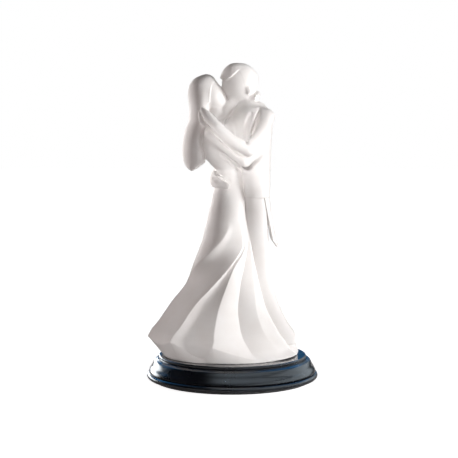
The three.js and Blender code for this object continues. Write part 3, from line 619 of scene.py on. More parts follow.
NODES = {
    "bodice": ["gown_bodice"], "bride_head": ["bride_head"], "hair_fall": ["bride_hair"],
    "jacket": ["groom_jacket"], "collar": ["groom_collar"], "groom_head": ["groom_head"],
    "groom_hair": ["groom_hair"], "near_ear": ["groom_left_ear"], "far_ear": ["groom_right_ear"],
}
for who, near, far in (("groom", "left", "right"), ("bride", "right", "left")):
    for part in ("upper_arm", "forearm", "hand"):
        NODES[f"{who}_near_{part}"] = [f"{who}_{near}_{part}"]
        NODES[f"{who}_far_{part}"] = [f"{who}_{far}_{part}"]
for i, name in enumerate(clay.names):
    mine = quads[owner == i]
    used, faces = np.unique(mine, return_inverse=True)
    make_piece("sculpted_" + name, points[used], faces.reshape(mine.shape), "figure_resin", NODES[name],
               normals[used])
print(len(clay.names), "pieces cut from the clay")

# %% [markdown]
# ## The pleated skirt
# The gown's skirt flares from the waist to a train, and three pleats sweep down its near side. Between two
# pleats the cloth is scooped out, and each pleat ends at the hem in a lifted point with an undercut below
# it, down to a smooth oval foot. The ground form is a column; the crests are drawn on it as lines down from
# the waist.

# %% Gown and crests
GOWN_FOOT = (-54, 47, -47, 45)
GOWN_TOP = 137
GOWN = [
    [0, -66, 50, -49, 47], [6, -66.2, 42.6, -50, 48], [12, -66.4, 37.4, -50.4, 47],
    [18, -64, 31.6, -49.4, 46], [26, -57.7, 25.8, -46, 42], [40, -48.2, 20.6, -40, 36],
    [57, -35.9, 18.3, -33.5, 31], [71, -31.2, 17, -28, 27], [88, -23.8, 15.5, -22, 21.5],
    [104, -19.9, 13.2, -18.5, 18], [120, -16.4, 12, -15, 15], [GOWN_TOP, -13, 8.6, -10.6, 10.6],
]
# The way of each crest: height, and degrees round from the right, where -90 is straight in front.
PLEATS = {
    "sweep": [(118, -92), (101, -87), (92.5, -97), (85, -113), (77, -131), (68, -153), (57, -169), (40, -177),
              (13, -179)],
    "middle": [(118, -74), (98, -54), (87, -53), (78, -65), (68, -82), (55, -104), (45, -114), (28, -122),
               (15, -127)],
    "front": [(118, -62), (98, -46), (88, -46), (68, -72), (53, -82), (39, -84.5), (26, -86.2), (18, -87),
              (12, -90)],
    "valley": [(118, -52), (98, -37), (88, -36), (72, -45), (55, -55), (27, -57), (3, -60)],
    "edge": [(118, -38), (98, -32), (72, -34), (45, -38), (26, -40), (12, -38), (3, -34)],
}
print(len(PLEATS), "crests on a gown", GOWN_TOP, "mm tall")

# %% [markdown]
# ## Crests and scoops
# A pleat is seen by two things: its crest stands out from the ground form, and the cloth beside it falls
# in. Both change on the way down, so each is a smooth line over the height. The far side repeats three of
# the near crests.

# %% Crests and scoops
# How far each crest stands out from the oval wall, in mm, by height above the deck.
STAND = {
    "sweep": through([(0, 0), (70, 0), (84, 0.8), (96, 0.9), (104, 0)]),
    "middle": through([(0, 0.4), (15, 1.2), (30, 1.2), (50, 1), (80, 1), (96, 0)]),
    "front": through([(0, 0.4), (13, 1), (30, 1.2), (60, 0.9), (85, 0.6), (96, 0)]),
    "valley": through([(0, -1), (8, -2.2), (18, -3), (40, -2.8), (60, -1.8), (80, -0.8), (95, 0)]),
    "edge": through([(0, 1), (12, 4.6), (26, 7), (40, 6), (57, 4), (72, 2.4), (96, 0.8), (110, 0)]),
}
# Between two crests the cloth is scooped: depth by height, and where across the scoop it is deepest.
SCOOPS = {
    "none": (through([(0, 0), (1, 0)]), through([(0, 0.5), (1, 0.5)])),
    "sweep": (through([(4, 6.4), (15, 6.2), (30, 5.8), (50, 5.2), (70, 4.6), (84, 3), (96, 1.4), (106, 0)]),
              through([(14, 0.62), (60, 0.55), (85, 0.4)])),
    "middle": (through([(4, 7), (14, 6.6), (26, 5.6), (40, 4.6), (60, 3.2), (78, 1.6), (92, 0.3), (100, 0)]),
               through([(15, 0.3), (42, 0.38), (70, 0.45)])),
    "far": (through([(4, 5), (20, 4), (45, 3), (75, 1.4), (105, 0)]), through([(15, 0.4), (70, 0.5)])),
}
# Round the gown from the left, by the near side (-1) and then the far one (1): the crest, its side, the height
# of its hem, the scoop after it, how far the hem dips there and where it is lowest.
STOPS = [
    ("sweep", -1, 13.4, "sweep", 4, 0.56), ("middle", -1, 15.4, "middle", 10.4, 0.58),
    ("front", -1, 12.6, "none", 0, 0.5), ("valley", -1, 0.8, "none", 0, 0.5),
    ("edge", -1, 0.8, "none", 0, 0.5), ("edge", 1, 0.8, "far", 0, 0.5), ("front", 1, 12, "far", 8, 0.5),
    ("middle", 1, 13, "far", 4, 0.5),
]
print(len(STOPS), "stretches round the gown")

# %% [markdown]
# ## The skirt's skin
# Remeshing would round the crests off, so the skin is lofted directly. Each ring holds the same number of
# points between two crests, and so its points run down along them and the faces meet on each crest.

# %% Skirt
def dip(share, deepest):
    """From 0 at both crests to 1 at the deepest place, level there and steep at the crests."""
    before, after = share / deepest, (1 - share) / (1 - deepest)
    return np.sin(np.pi / 2 * np.clip(np.where(share < deepest, before, after), 0, 1))


def pleated_skirt(levels=230, count=46, under=16):
    """Rings of the skirt's skin, from the foot up to the waist."""
    left_at, right_at, near_at, far_at = outline(GOWN)
    share = np.arange(count) / count
    crest = {name: through(way) for name, way in PLEATS.items()}
    stretches = list(zip(STOPS, STOPS[1:] + STOPS[:1]))

    def points_at(heights):
        """The points of rings, from the height of each point: one row a ring."""
        out = np.zeros(heights.shape + (3,))
        for s, ((name, side, _, scoop, _, _), (after, after_side, *_)) in enumerate(stretches):
            cols = slice(s * count, (s + 1) * count)
            h = heights[:, cols]
            start, end = np.radians(-side * crest[name](h)), np.radians(-after_side * crest[after](h))
            end = np.where(end < start, end + 2 * np.pi, end)
            left, right = left_at(h), right_at(h)
            x, y = oval(left, right, near_at(h), far_at(h), start + (end - start) * share, 2.1)
            dx = x - (left + right) / 2
            reach = np.hypot(dx, y)
            depth, deepest = SCOOPS[scoop]
            stand = STAND[name](h) + (STAND[after](h) - STAND[name](h)) * share
            lift = stand - depth(h) * dip(share, deepest(h))
            out[:, cols] = np.stack([x + dx / reach * lift, y + y / reach * lift, h], -1)
        return out

    hem = np.concatenate([
        hem_here + (hem_after - hem_here) * share - drop * dip(share, lowest) ** 1.3
        for (_, _, hem_here, _, drop, lowest), (_, _, hem_after, *_) in stretches])
    rise = (np.linspace(0, 1, levels) ** 1.1)[:, None]
    wall = points_at(hem[None, :] + (GOWN_TOP - hem[None, :]) * rise)
    edge = wall[0]
    left, right, near, far = GOWN_FOOT
    middle, half = (left + right) / 2, (right - left) / 2
    depth = np.where(edge[:, 1] < 0, -near, far)
    x, y = oval(left, right, near, far, np.arctan2(edge[:, 1] / depth, (edge[:, 0] - middle) / half), 2.2)
    foot = np.stack([x, y, np.zeros_like(x)], -1)
    climb = np.linspace(0, 1, under, endpoint=False)[:, None, None]
    return np.concatenate([foot + (edge - foot) * climb, wall])


rings = pleated_skirt()
skirt_points, skirt_faces = loft(rings)
make_piece("pleated_skirt", skirt_points, skirt_faces, "figure_resin", ["gown_skirt"])
print("skirt rings:", rings.shape, "from", skirt_points.min(0).round(1), "to", skirt_points.max(0).round(1))

# %% [markdown]
# ## Trousers, shoes and coat tails
# Straight trouser legs stand close behind the gown and break over the shoes, and two thin coat tails hang
# behind them. Legs and shoes are columns that keep to their own side of the figure. A tail is a thin strip
# bent round his back, so its rings are two arcs with the tail's thickness between them.

# %% Trousers, shoes and tails
# Rows of height, left, right and how far out; the inner side stays just clear of the other leg.
LEG_GAP = 0.35
LEG = [[8.6, 24, 49.6, 13.6], [14, 22, 49.4, 13.8], [25, 18.4, 43, 13.6], [40, 14, 36, 13.4],
       [57, 11.4, 31.4, 13.2], [80, 10.4, 28.6, 13], [JACKET_HEM + 2, 9.8, 26.8, 13]]
SHOE = [[0, 22, 50.6, 12], [3, 22, 51.2, 12.6], [9.4, 24, 48.8, 12.2]]
TAIL_THICKNESS, TAIL_BEND = 2, 12
# Rows of a tail: height, x of its outer face at the back, half depth of its curve, and where it starts and
# ends round that curve, in degrees from the back.
TAIL = [[84, 36.2, 15, 14, 24], [87, 35.6, 15, 12, 36], [90, 34.8, 15, 9, 46], [100, 32.4, 15, 4, 41],
        [109, 30.8, 15.2, 2, 44], [118, 29.6, 15.4, 2, 48], [JACKET_HEM + 2, 29.1, 15.5, 2, 50]]


def coat_tail(side, rings=60, count=24):
    """A thin tail that follows the round of his back, from the hem down to a slanted tip."""
    back, deep, start, end = outline(TAIL)
    h = np.linspace(TAIL[0][0], TAIL[-1][0], rings)[:, None]
    turn = np.radians(start(h) + (end(h) - start(h)) * np.linspace(0, 1, count)[None, :])
    skins = []
    for shrink in (0, TAIL_THICKNESS):
        x = back(h) - TAIL_BEND + (TAIL_BEND - shrink) * np.cos(turn)
        y = side * (deep(h) - shrink) * np.sin(turn)
        skins.append(np.stack([x, y, np.broadcast_to(h, turn.shape)], -1))
    ring = np.concatenate([skins[0], skins[1][:, ::-1]], 1)
    return loft(ring if side > 0 else ring[:, ::-1])


def one_side(rows, side):
    """A column's rows for the near side (-1) or the far one (1)."""
    return [[h, left, right, *sorted((side * LEG_GAP, side * out))] for h, left, right, out in rows]


for side, near in ((-1, "left"), (1, "right")):
    leg, shoe = column(one_side(LEG, side), rings=120), column(one_side(SHOE, side), rings=30)
    make_piece(f"trouser_leg_{near}", *leg, "figure_resin", [f"groom_{near}_trouser_leg"])
    make_piece(f"shoe_{near}", *shoe, "figure_resin", [f"groom_{near}_shoe"])
    make_piece(f"coat_tail_{near}", *coat_tail(side), "figure_resin", [f"groom_{near}_coat_tail"])
print("legs, shoes and tails made")

# %% [markdown]
# ## The turned base
# The base is one turning: a rounded bead at the foot, a thin groove, a hollow flank that rolls over a
# shoulder, and a raised ring that carries the figures. A turning is a profile swept round an axis, and its
# corners are eased first, because lacquer never leaves a sharp edge and an eased one catches the light.

# %% Turnings
def turning(profile, sides=256):
    """Points and faces of a profile of (radius, height) swept round the axis, closed at both ends."""
    r, z = [np.repeat(values[:, None], sides, 1) for values in np.array(profile).T]
    turn = np.linspace(0, 2 * np.pi, sides, endpoint=False)
    return loft(np.stack([r * np.cos(turn), r * np.sin(turn), z], -1))


def rounded(profile, radius, steps=6):
    """A profile whose corners are turned with a small radius."""
    p = np.array(profile, float)
    out = [p[0]]
    for a, b, c in zip(p[:-2], p[1:-1], p[2:]):
        r = min(radius, np.linalg.norm(b - a) * 0.45, np.linalg.norm(c - b) * 0.45)
        start, end = b + unit(a - b) * r, b + unit(c - b) * r
        t = np.linspace(0, 1, steps)[:, None]
        out.extend((1 - t) ** 2 * start + 2 * t * (1 - t) * b + t * t * end)
    return np.array([*out, p[-1]])


print("a square corner takes", len(rounded([(0, 0), (9, 0), (9, 9)], 1)) - 2, "points")

# %% [markdown]
# ## The base's profile, and the felt
# The profile climbs from the underside, round the bead and through the groove, up the hollow flank, and
# over the ring to the deck. It starts and ends on a tiny ring round the axis. A disc of felt is turned in
# the same way.

# %% Base and felt
FELT_THICKNESS, FELT_INSET, FELT_EDGE, SEAM = 1.2, 2.4, 0.3, 0.3
UNDERSIDE = FELT_THICKNESS + SEAM
FOOT_RADIUS, BEAD_HEIGHT, BEAD_BULGE, BEAD_INSET = 64.4, 4.6, 2.4, 3
GROOVE_WIDTH, GROOVE_DEPTH = 0.9, 1.1
RING_RADIUS, RING_HEIGHT, SHOULDER_RADIUS = 57.6, 2.9, 59.4
# The ring is set back a little where it meets the shoulder, and its upper edge is cut at a slant.
RING_NECK, RING_NECK_HEIGHT, RING_CHAMFER = 0.9, 0.5, 0.7
# How far each corner is eased, the tiny ring round the axis, and a ring on the deck that keeps its faces even.
EASE, AXIS, INNER_DECK = 0.35, 0.5, 20
DECK_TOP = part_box("base_plinth")[1].z / MM
COVE = UNDERSIDE + BEAD_HEIGHT + GROOVE_WIDTH
COVE_HEIGHT = DECK_TOP - RING_HEIGHT - COVE

bead = [(FOOT_RADIUS + BEAD_BULGE * math.sin(t), UNDERSIDE + BEAD_HEIGHT * (1 - math.cos(t)) / 2)
        for t in np.linspace(0, math.pi, 26)]
flank = through([(0, FOOT_RADIUS + 0.8), (0.18, FOOT_RADIUS + 0.2), (0.45, FOOT_RADIUS - 1.4),
                 (0.72, SHOULDER_RADIUS + 2.3), (0.9, SHOULDER_RADIUS + 1.1), (1, SHOULDER_RADIUS - 0.9)])
ring_foot = COVE + COVE_HEIGHT
profile = [
    (AXIS, UNDERSIDE), (FOOT_RADIUS - BEAD_INSET, UNDERSIDE), *bead,
    (FOOT_RADIUS - GROOVE_DEPTH, COVE - GROOVE_WIDTH / 2),
    *[(float(flank(k)), COVE + COVE_HEIGHT * k) for k in np.linspace(0, 1, 40)],
    (RING_RADIUS - RING_NECK, ring_foot), (RING_RADIUS - RING_NECK, ring_foot + RING_NECK_HEIGHT),
    (RING_RADIUS, ring_foot + RING_NECK), (RING_RADIUS, DECK_TOP - RING_CHAMFER),
    (RING_RADIUS - RING_CHAMFER, DECK_TOP), (INNER_DECK, DECK_TOP), (AXIS, DECK_TOP),
]
felt_radius = FOOT_RADIUS - FELT_INSET
felt = [(AXIS, 0), (felt_radius, 0), (felt_radius, FELT_THICKNESS), (AXIS, FELT_THICKNESS)]
base = make_piece("turned_base", *turning(rounded(profile, EASE)), "black_lacquer", ["base_plinth"], lift=0)
make_piece("felt_underside", *turning(rounded(felt, FELT_EDGE)), "felt", ["felt_pad"], lift=0)
print("base profile has", len(profile), "points, deck at", round(DECK_TOP, 2), "mm")

# %% [markdown]
# ## Finishes
# Four finishes cover the whole object: satin resin, black lacquer, felt and zinc. Two effects come back in
# all of them at their own scale, so each is a node group: faint clouds of a second tint, which break up a
# flat colour, and the marks of handling, which vary the gloss and raise a fine grain. The textures are read
# in object space. Every piece keeps its points in the same frame, so the clouds run on from piece to piece
# and no seam shows. First come small helpers: they wire sockets, make a group, read noise and do one sum.

# %% Group helpers
def wire(tree, *pairs):
    """Links sockets, each pair an output and the input that it feeds."""
    for start, end in pairs:
        tree.links.new(start, end)


def new_group(name, inputs, outputs):
    """A node group with named sockets: inputs are (name, kind, value), outputs are (name, kind)."""
    group = bpy.data.node_groups.new(name, "ShaderNodeTree")
    for title, kind, value in inputs:
        group.interface.new_socket(name=title, in_out="INPUT", socket_type=kind).default_value = value
    for title, kind in outputs:
        group.interface.new_socket(name=title, in_out="OUTPUT", socket_type=kind)
    return group, group.nodes.new("NodeGroupInput"), group.nodes.new("NodeGroupOutput")


def spots(group, scale, detail, low=None, high=None):
    """Smooth noise over the object; scale is a socket, low and high stretch its middle to the full range."""
    place = group.nodes.new("ShaderNodeTexCoord")
    noise = group.nodes.new("ShaderNodeTexNoise")
    noise.inputs["Detail"].default_value = detail
    wire(group, (place.outputs["Object"], noise.inputs["Vector"]), (scale, noise.inputs["Scale"]))
    if low is None:
        return noise.outputs["Fac"]
    stretch = group.nodes.new("ShaderNodeMapRange")
    stretch.inputs["From Min"].default_value, stretch.inputs["From Max"].default_value = low, high
    wire(group, (noise.outputs["Fac"], stretch.inputs["Value"]))
    return stretch.outputs["Result"]


def reckon(group, operation, first, second):
    """The result of one sum over two sockets or numbers."""
    node = group.nodes.new("ShaderNodeMath")
    node.operation = operation
    for socket, value in zip(node.inputs, (first, second)):
        if isinstance(value, (int, float)):
            socket.default_value = value
        else:
            group.links.new(value, socket)
    return node.outputs[0]


print("helpers for shader nodes are ready")

# %% [markdown]
# ## Clouds of tint
# Cast resin is never one flat white: fillers drift as it cures, and the polish warms the thin places.
# `tint_clouds` blends two tints by slow noise, with a finer second layer over it.

# %% Tint clouds
def tint_clouds():
    """The group that puts slow clouds and fine flecks of a second tint over the first."""
    colour, number = "NodeSocketColor", "NodeSocketFloat"
    group, given, out = new_group(
        "tint_clouds",
        [("Tint", colour, (0.8, 0.8, 0.8, 1)), ("Cloud", colour, (0.7, 0.7, 0.7, 1)),
         ("Clouds per metre", number, 60.0), ("Flecks per metre", number, 700.0), ("Flecks", number, 0.2)],
        [("Colour", colour)])
    slow = spots(group, given.outputs["Clouds per metre"], 4, 0.36, 0.64)
    fine = reckon(group, "MULTIPLY", spots(group, given.outputs["Flecks per metre"], 2, 0.45, 0.75),
                  given.outputs["Flecks"])
    share = group.nodes.new("ShaderNodeClamp")
    mix = group.nodes.new("ShaderNodeMix")
    mix.data_type = "RGBA"
    wire(group, (reckon(group, "ADD", slow, fine), share.inputs["Value"]),
         (share.outputs[0], mix.inputs["Factor"]), (given.outputs["Tint"], mix.inputs["A"]),
         (given.outputs["Cloud"], mix.inputs["B"]), (mix.outputs["Result"], out.inputs["Colour"]))
    return group


CLOUDS = tint_clouds()
print("group", CLOUDS.name, "with", len(CLOUDS.nodes), "nodes")

# %% [markdown]
# ## Marks of handling
# A polished surface shows its making in its gloss: the buffing leaves broad patches that are a little
# duller, and under them a fine grain. `handling` gives the gloss as a roughness and the grain as a height,
# which a Bump node in the material turns into a normal.

# %% Handling marks
def handling():
    """The group that gives the gloss of a handled surface and the height of its grain."""
    number = "NodeSocketFloat"
    group, given, out = new_group(
        "handling",
        [("Roughness", number, 0.4), ("Spread", number, 0.1), ("Patches per metre", number, 120.0),
         ("Grain per metre", number, 1500.0), ("Waviness", number, 0.3)],
        [("Roughness", number), ("Height", number)])
    patches = spots(group, given.outputs["Patches per metre"], 3, 0.3, 0.7)
    grain = spots(group, given.outputs["Grain per metre"], 3)
    spread = reckon(group, "MULTIPLY", reckon(group, "SUBTRACT", patches, 0.5), given.outputs["Spread"])
    waves = reckon(group, "MULTIPLY", patches, given.outputs["Waviness"])
    wire(group, (reckon(group, "ADD", given.outputs["Roughness"], spread), out.inputs["Roughness"]),
         (reckon(group, "ADD", grain, waves), out.inputs["Height"]))
    return group


HANDLING = handling()
print("group", HANDLING.name, "with", len(HANDLING.nodes), "nodes")

# %% [markdown]
# ## The four materials
# Each material is one Principled shader fed by the two groups. What is the same all over a surface, such as
# the lacquer's clear coat or the felt's sheen, is set on the shader's own sockets.

# %% Materials
FINISH = {}
MARKS = ("Roughness", "Spread", "Patches per metre", "Grain per metre", "Waviness")


def new_finish(slot, tint, cloud, marks, grain_depth, flecks=0.2, clouds=60.0, **fixed):
    """A material of tint clouds and handling marks; marks are the handling group's values, depth is in mm."""
    material = bpy.data.materials.new(slot)
    material.use_nodes = True
    tree = material.node_tree
    shader = tree.nodes["Principled BSDF"]
    colour, gloss = tree.nodes.new("ShaderNodeGroup"), tree.nodes.new("ShaderNodeGroup")
    colour.node_tree, gloss.node_tree = CLOUDS, HANDLING
    colour.inputs["Tint"].default_value, colour.inputs["Cloud"].default_value = (*tint, 1), (*cloud, 1)
    colour.inputs["Clouds per metre"].default_value, colour.inputs["Flecks"].default_value = clouds, flecks
    for name, value in zip(MARKS, marks):
        gloss.inputs[name].default_value = value
    relief = tree.nodes.new("ShaderNodeBump")
    relief.inputs["Distance"].default_value = grain_depth * MM
    relief.inputs["Strength"].default_value = 1.0
    wire(tree, (colour.outputs["Colour"], shader.inputs["Base Color"]),
         (gloss.outputs["Roughness"], shader.inputs["Roughness"]),
         (gloss.outputs["Height"], relief.inputs["Height"]),
         (relief.outputs["Normal"], shader.inputs["Normal"]))
    for name, value in fixed.items():
        shader.inputs[name.replace("_", " ")].default_value = value
    FINISH[slot] = material


new_finish("figure_resin", (0.87, 0.85, 0.835), (0.84, 0.81, 0.79), (0.44, 0.1, 140, 1400, 1.2),
           grain_depth=0.012, Specular_IOR_Level=0.42)
new_finish("black_lacquer", (0.0022, 0.0026, 0.004), (0.005, 0.006, 0.009), (0.3, 0.12, 90, 900, 0.6),
           grain_depth=0.004, Coat_Weight=1.0, Coat_Roughness=0.1, Specular_IOR_Level=0.3)
new_finish("felt", (0.01, 0.0105, 0.012), (0.03, 0.031, 0.034), (0.95, 0.06, 300, 2600, 0.4),
           grain_depth=0.25, flecks=0.8, clouds=240.0, Sheen_Weight=0.5, Sheen_Roughness=0.6)
new_finish("zinc_steel", (0.56, 0.57, 0.59), (0.46, 0.465, 0.48), (0.34, 0.2, 500, 3200, 0.3),
           grain_depth=0.008, flecks=0.4, clouds=300.0, Metallic=1.0)
for piece in bpy.data.objects:
    if piece.type == "MESH" and "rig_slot" in piece:
        piece.data.materials.append(FINISH[piece["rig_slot"]])
for name, node in frame["nodes"].items():
    if name.startswith(("fixing_screw", "screw_washer")):
        node.data.materials.clear()
        node.data.materials.append(FINISH["zinc_steel"])
print("materials:", sorted(FINISH))

# %% [markdown]
# ## The floor
# A wide pale floor takes the soft shadow of the base. To the camera alone it also glows, and a little more
# far away than near the base, so that it runs into the white behind it and no horizon shows.

# %% Floor
FLOOR_GREY = 0.8
# How strongly the floor glows near the middle and far from it: metres, strength.
GLOW_NEAR, GLOW_FAR = (0.1, 0.9), (0.6, 1.02)


def bare_tree(holder):
    """The emptied node tree of a material or a world."""
    holder.use_nodes = True
    holder.node_tree.nodes.clear()
    return holder.node_tree


def studio_white():
    """A matt white that glows for the camera, by how far off the middle a place is."""
    white = bpy.data.materials.new("studio_white")
    tree = bare_tree(white)
    matt, glow = tree.nodes.new("ShaderNodeBsdfDiffuse"), tree.nodes.new("ShaderNodeEmission")
    place, away = tree.nodes.new("ShaderNodeNewGeometry"), tree.nodes.new("ShaderNodeVectorMath")
    whiten, dim = tree.nodes.new("ShaderNodeMapRange"), tree.nodes.new("ShaderNodeMath")
    path, both = tree.nodes.new("ShaderNodeLightPath"), tree.nodes.new("ShaderNodeAddShader")
    out = tree.nodes.new("ShaderNodeOutputMaterial")
    matt.inputs["Color"].default_value = (FLOOR_GREY, FLOOR_GREY, FLOOR_GREY, 1)
    away.operation = "LENGTH"
    dim.operation = "MULTIPLY"
    for end, (metres, strength) in (("Min", GLOW_NEAR), ("Max", GLOW_FAR)):
        whiten.inputs["From " + end].default_value = metres
        whiten.inputs["To " + end].default_value = strength
    wire(tree, (place.outputs["Position"], away.inputs[0]), (away.outputs["Value"], whiten.inputs["Value"]),
         (path.outputs["Is Camera Ray"], dim.inputs[0]), (whiten.outputs["Result"], dim.inputs[1]),
         (dim.outputs[0], glow.inputs["Strength"]), (matt.outputs[0], both.inputs[0]),
         (glow.outputs[0], both.inputs[1]), (both.outputs[0], out.inputs["Surface"]))
    return white


scene = bpy.context.scene
floor_mesh = bpy.data.meshes.new("studio_floor")
floor_mesh.from_pydata([(-6, -3, 0), (6, -3, 0), (6, 9, 0), (-6, 9, 0)], [], [(0, 1, 2, 3)])
floor_mesh.materials.append(studio_white())
floor = bpy.data.objects.new("studio_floor", floor_mesh)
scene.collection.objects.link(floor)
print("floor:", tuple(round(v) for v in floor.dimensions[:2]), "m")

# %% [markdown]
# ## White all round
# The world is plain white to the camera and in reflections and clear materials. To everything else it is
# only a faint warm fill, so that it doesn't flatten what the lamps draw.

# %% White all round
FILL_TINT, FILL_STRENGTH = (1.0, 0.93, 0.9, 1), 0.02
world = bpy.data.worlds.new("studio")
scene.world = world
tree = bare_tree(world)
path, mix = tree.nodes.new("ShaderNodeLightPath"), tree.nodes.new("ShaderNodeMixShader")
seen, fill = tree.nodes.new("ShaderNodeBackground"), tree.nodes.new("ShaderNodeBackground")
out = tree.nodes.new("ShaderNodeOutputWorld")
seen.inputs["Color"].default_value = (1, 1, 1, 1)
fill.inputs["Color"].default_value, fill.inputs["Strength"].default_value = FILL_TINT, FILL_STRENGTH
shown = path.outputs["Is Camera Ray"]
for ray in ("Is Glossy Ray", "Is Transmission Ray"):
    shown = reckon(tree, "MAXIMUM", shown, path.outputs[ray])
wire(tree, (shown, mix.inputs["Fac"]), (fill.outputs[0], mix.inputs[1]), (seen.outputs[0], mix.inputs[2]),
     (mix.outputs[0], out.inputs["Surface"]))
print("world:", len(tree.nodes), "nodes")

# %% [markdown]
# ## Lamps
# A large softbox on the right models the folds, two weak ones in front and on the left lift the shade, and
# lamps behind draw the bright rim down the left edges. Narrow snoots pick out the arms, the heads, the
# trousers, the hem and the lower panels. No lamp shows in the lacquer, which has a sheet of its own to
# mirror.

# %% Lamps
def aimed(name, data, place, aim):
    """A lamp or camera that stands at a place and looks at aim, in metres."""
    thing = bpy.data.objects.new(name, data)
    thing.location = place
    thing.rotation_mode = "QUATERNION"
    thing.rotation_quaternion = (Vector(aim) - Vector(place)).to_track_quat("-Z", "Y")
    scene.collection.objects.link(thing)
    return thing


def softbox(name, place, side, power, colour=(1, 1, 1)):
    """A square soft lamp that looks at the middle of the figurine."""
    light = bpy.data.lights.new(name, "AREA")
    light.shape = "RECTANGLE"
    light.size, light.size_y = side, side
    light.energy = power
    light.color = colour
    return aimed(name, light, place, MIDDLE)


def snoot(name, place, aim, reach, power):
    """A spotlight whose soft circle is reach wide, as a radius, where it lands."""
    light = bpy.data.lights.new(name, "SPOT")
    light.spot_size = 2 * math.atan(reach / (Vector(aim) - Vector(place)).length)
    light.spot_blend = 1.0
    light.shadow_soft_size = 0.01
    light.energy = power
    return aimed(name, light, place, aim)


MIDDLE = (0, 0, 0.12)
ROSE = (1, 0.88, 0.86)
lamps = [
    softbox("key_softbox", (1.31, -0.48, 0.26), 0.8, 26),
    softbox("front_softbox", (0, -1.39, 0.24), 0.8, 3.2, ROSE),
    softbox("side_softbox", (-1.32, 0.35, 0.4), 0.8, 5.4, ROSE),
    softbox("back_softbox", (-0.69, 1.19, 0.36), 0.4, 3),
    snoot("side_rim_snoot", (-1.22, 0.7, 0.28), (-0.02, 0, 0.17), 0.1, 58),
    snoot("back_rim_snoot", (-0.71, 1.2, 0.365), (-0.02, 0, 0.17), 0.11, 84),
    snoot("arms_snoot", (-0.46, -1.29, 0.52), (0.007, -0.022, 0.177), 0.0385, 55),
    snoot("heads_snoot", (0.24, -1.31, 0.7), (0.012, -0.012, 0.226), 0.03, 28),
    snoot("trouser_snoot", (0.497, -1.311, 0.222), (0.02, 0, 0.1), 0.05, 18),
    snoot("hem_snoot", (-0.01, -0.65, 0.009), (-0.01, -0.05, 0.03), 0.04, 2.6),
    snoot("panel_snoot", (-1.1, -0.917, 0.308), (-0.05, -0.03, 0.05), 0.06, 12),
]
for lamp in lamps:
    lamp.visible_glossy = False
print(len(lamps), "lamps")

# %% [markdown]
# ## What the lacquer sees
# Gloss black has no shade of its own, only reflections, so a product photographer draws the base with
# screens. One round sheet encloses the set here, painted with soft patches of light on black: wide grey
# ones in front to the right lay the broad band on the base, blue ones tint its shoulders, and a white one
# behind to the left puts the bright mark on that side. Its light is linked to the lacquered base alone, so
# the couple keeps its own light.

# %% The painted sheet
# Each patch: from and to in degrees round the set from the front, from and to in degrees up, the widths over
# which its ends and its upper and lower sides fade, and its colour and strength.
PATCHES = {
    "front band": (-50, 128, 31, 70, 34, 12, (0.86, 1.0, 1.1)),
    "low band": (-6, 176, 2, 36, 60, 8, (1.05, 1.2, 1.3)),
    "right blue": (100, 240, 24, 74, 18, 6, (0.04, 0.26, 0.62)),
    "back blue": (150, 210, -6, 74, 16, 4, (0.02, 0.1, 0.22)),
    "left white": (-172, -116, -2, 17, 12, 5, (5, 5.3, 5.5)),
    "left blue": (-240, -104, 13, 70, 16, 8, (0.04, 0.2, 0.45)),
}


def painted_light(name):
    """A black material that sends out the colours painted on a mesh and mirrors nothing."""
    material = bpy.data.materials.new(name)
    material.use_nodes = True
    tree = material.node_tree
    shader, paint = tree.nodes["Principled BSDF"], tree.nodes.new("ShaderNodeAttribute")
    paint.attribute_name = "glow"
    wire(tree, (paint.outputs["Color"], shader.inputs["Emission Color"]))
    shader.inputs["Emission Strength"].default_value = 1.0
    shader.inputs["Base Color"].default_value = (0, 0, 0, 1)
    shader.inputs["Specular IOR Level"].default_value = 0
    return material


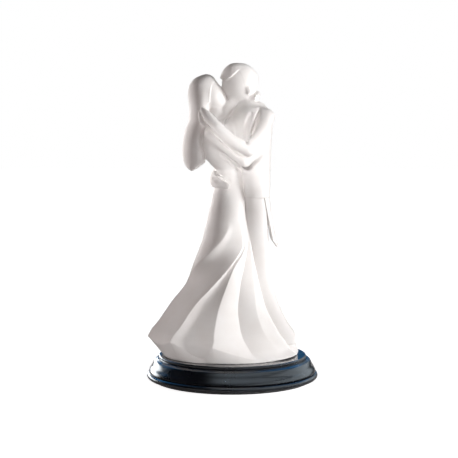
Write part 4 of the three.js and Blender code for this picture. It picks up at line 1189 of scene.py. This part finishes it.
def painted_sheet(away=1.8, turns=151, tiers=40):
    """A round sheet of soft light patches, away metres off, for the lacquer alone."""
    turn = np.linspace(-180, 180, turns)[None, :] + np.zeros((tiers, 1))
    rise = np.linspace(-6, 72, tiers)[:, None] + np.zeros((1, turns))
    a, e = np.radians(turn), np.radians(rise)
    points = np.stack([np.sin(a) * away, -np.cos(a) * away, np.tan(e) * away], -1).reshape(-1, 3)
    k = (np.arange(tiers - 1) * turns)[:, None] + np.arange(turns - 1)[None, :]
    faces = np.stack([k, k + 1, k + turns + 1, k + turns], -1).reshape(-1, 4)
    glow = np.zeros((tiers, turns, 4))
    glow[..., 3] = 1
    for start, end, low, high, ends, sides, colour in PATCHES.values():
        inside = np.maximum(*(np.minimum(t - start, end - t) for t in (turn, turn % 360)))
        across = np.clip(inside / ends, 0, 1)
        up = np.clip(np.minimum(rise - low, high - rise) / sides, 0, 1)
        glow[..., :3] += (across**2 * (3 - 2 * across) * up**2 * (3 - 2 * up))[..., None] * np.array(colour)
    mesh = bpy.data.meshes.new("painted_sheet")
    mesh.from_pydata(points.tolist(), [], [tuple(f) for f in faces.tolist()])
    mesh.color_attributes.new("glow", "FLOAT_COLOR", "POINT").data.foreach_set("color", glow.ravel())
    mesh.materials.append(painted_light("painted_sheet"))
    sheet = bpy.data.objects.new("painted_sheet", mesh)
    scene.collection.objects.link(sheet)
    sheet.visible_camera = sheet.visible_diffuse = sheet.visible_shadow = sheet.visible_transmission = False
    return sheet


sheet = painted_sheet()
lacquered = bpy.data.collections.new("lacquered")
lacquered.objects.link(base)
sheet.light_linking.receiver_collection = lacquered
print("the sheet has", len(sheet.data.vertices), "points and", len(PATCHES), "patches")

# %% [markdown]
# ## Camera
# The photograph was taken from a little above the figurine's middle, so that the base is seen slightly from
# above. Its height and distance were found from the two ovals that the foot and the ring of the base make.

# %% Camera
CAMERA_SIDE, CAMERA_AWAY, CAMERA_HEIGHT, AIM_HEIGHT = -0.0026, 0.9, 0.18, 0.1174
lens = bpy.data.cameras.new("camera")
lens.lens, lens.sensor_width = 91.1, 36
scene.camera = aimed("camera", lens, (CAMERA_SIDE, -CAMERA_AWAY, CAMERA_HEIGHT), (CAMERA_SIDE, 0, AIM_HEIGHT))
scene.view_settings.view_transform = "Standard"
print("camera at", tuple(round(v, 4) for v in scene.camera.location), "m")
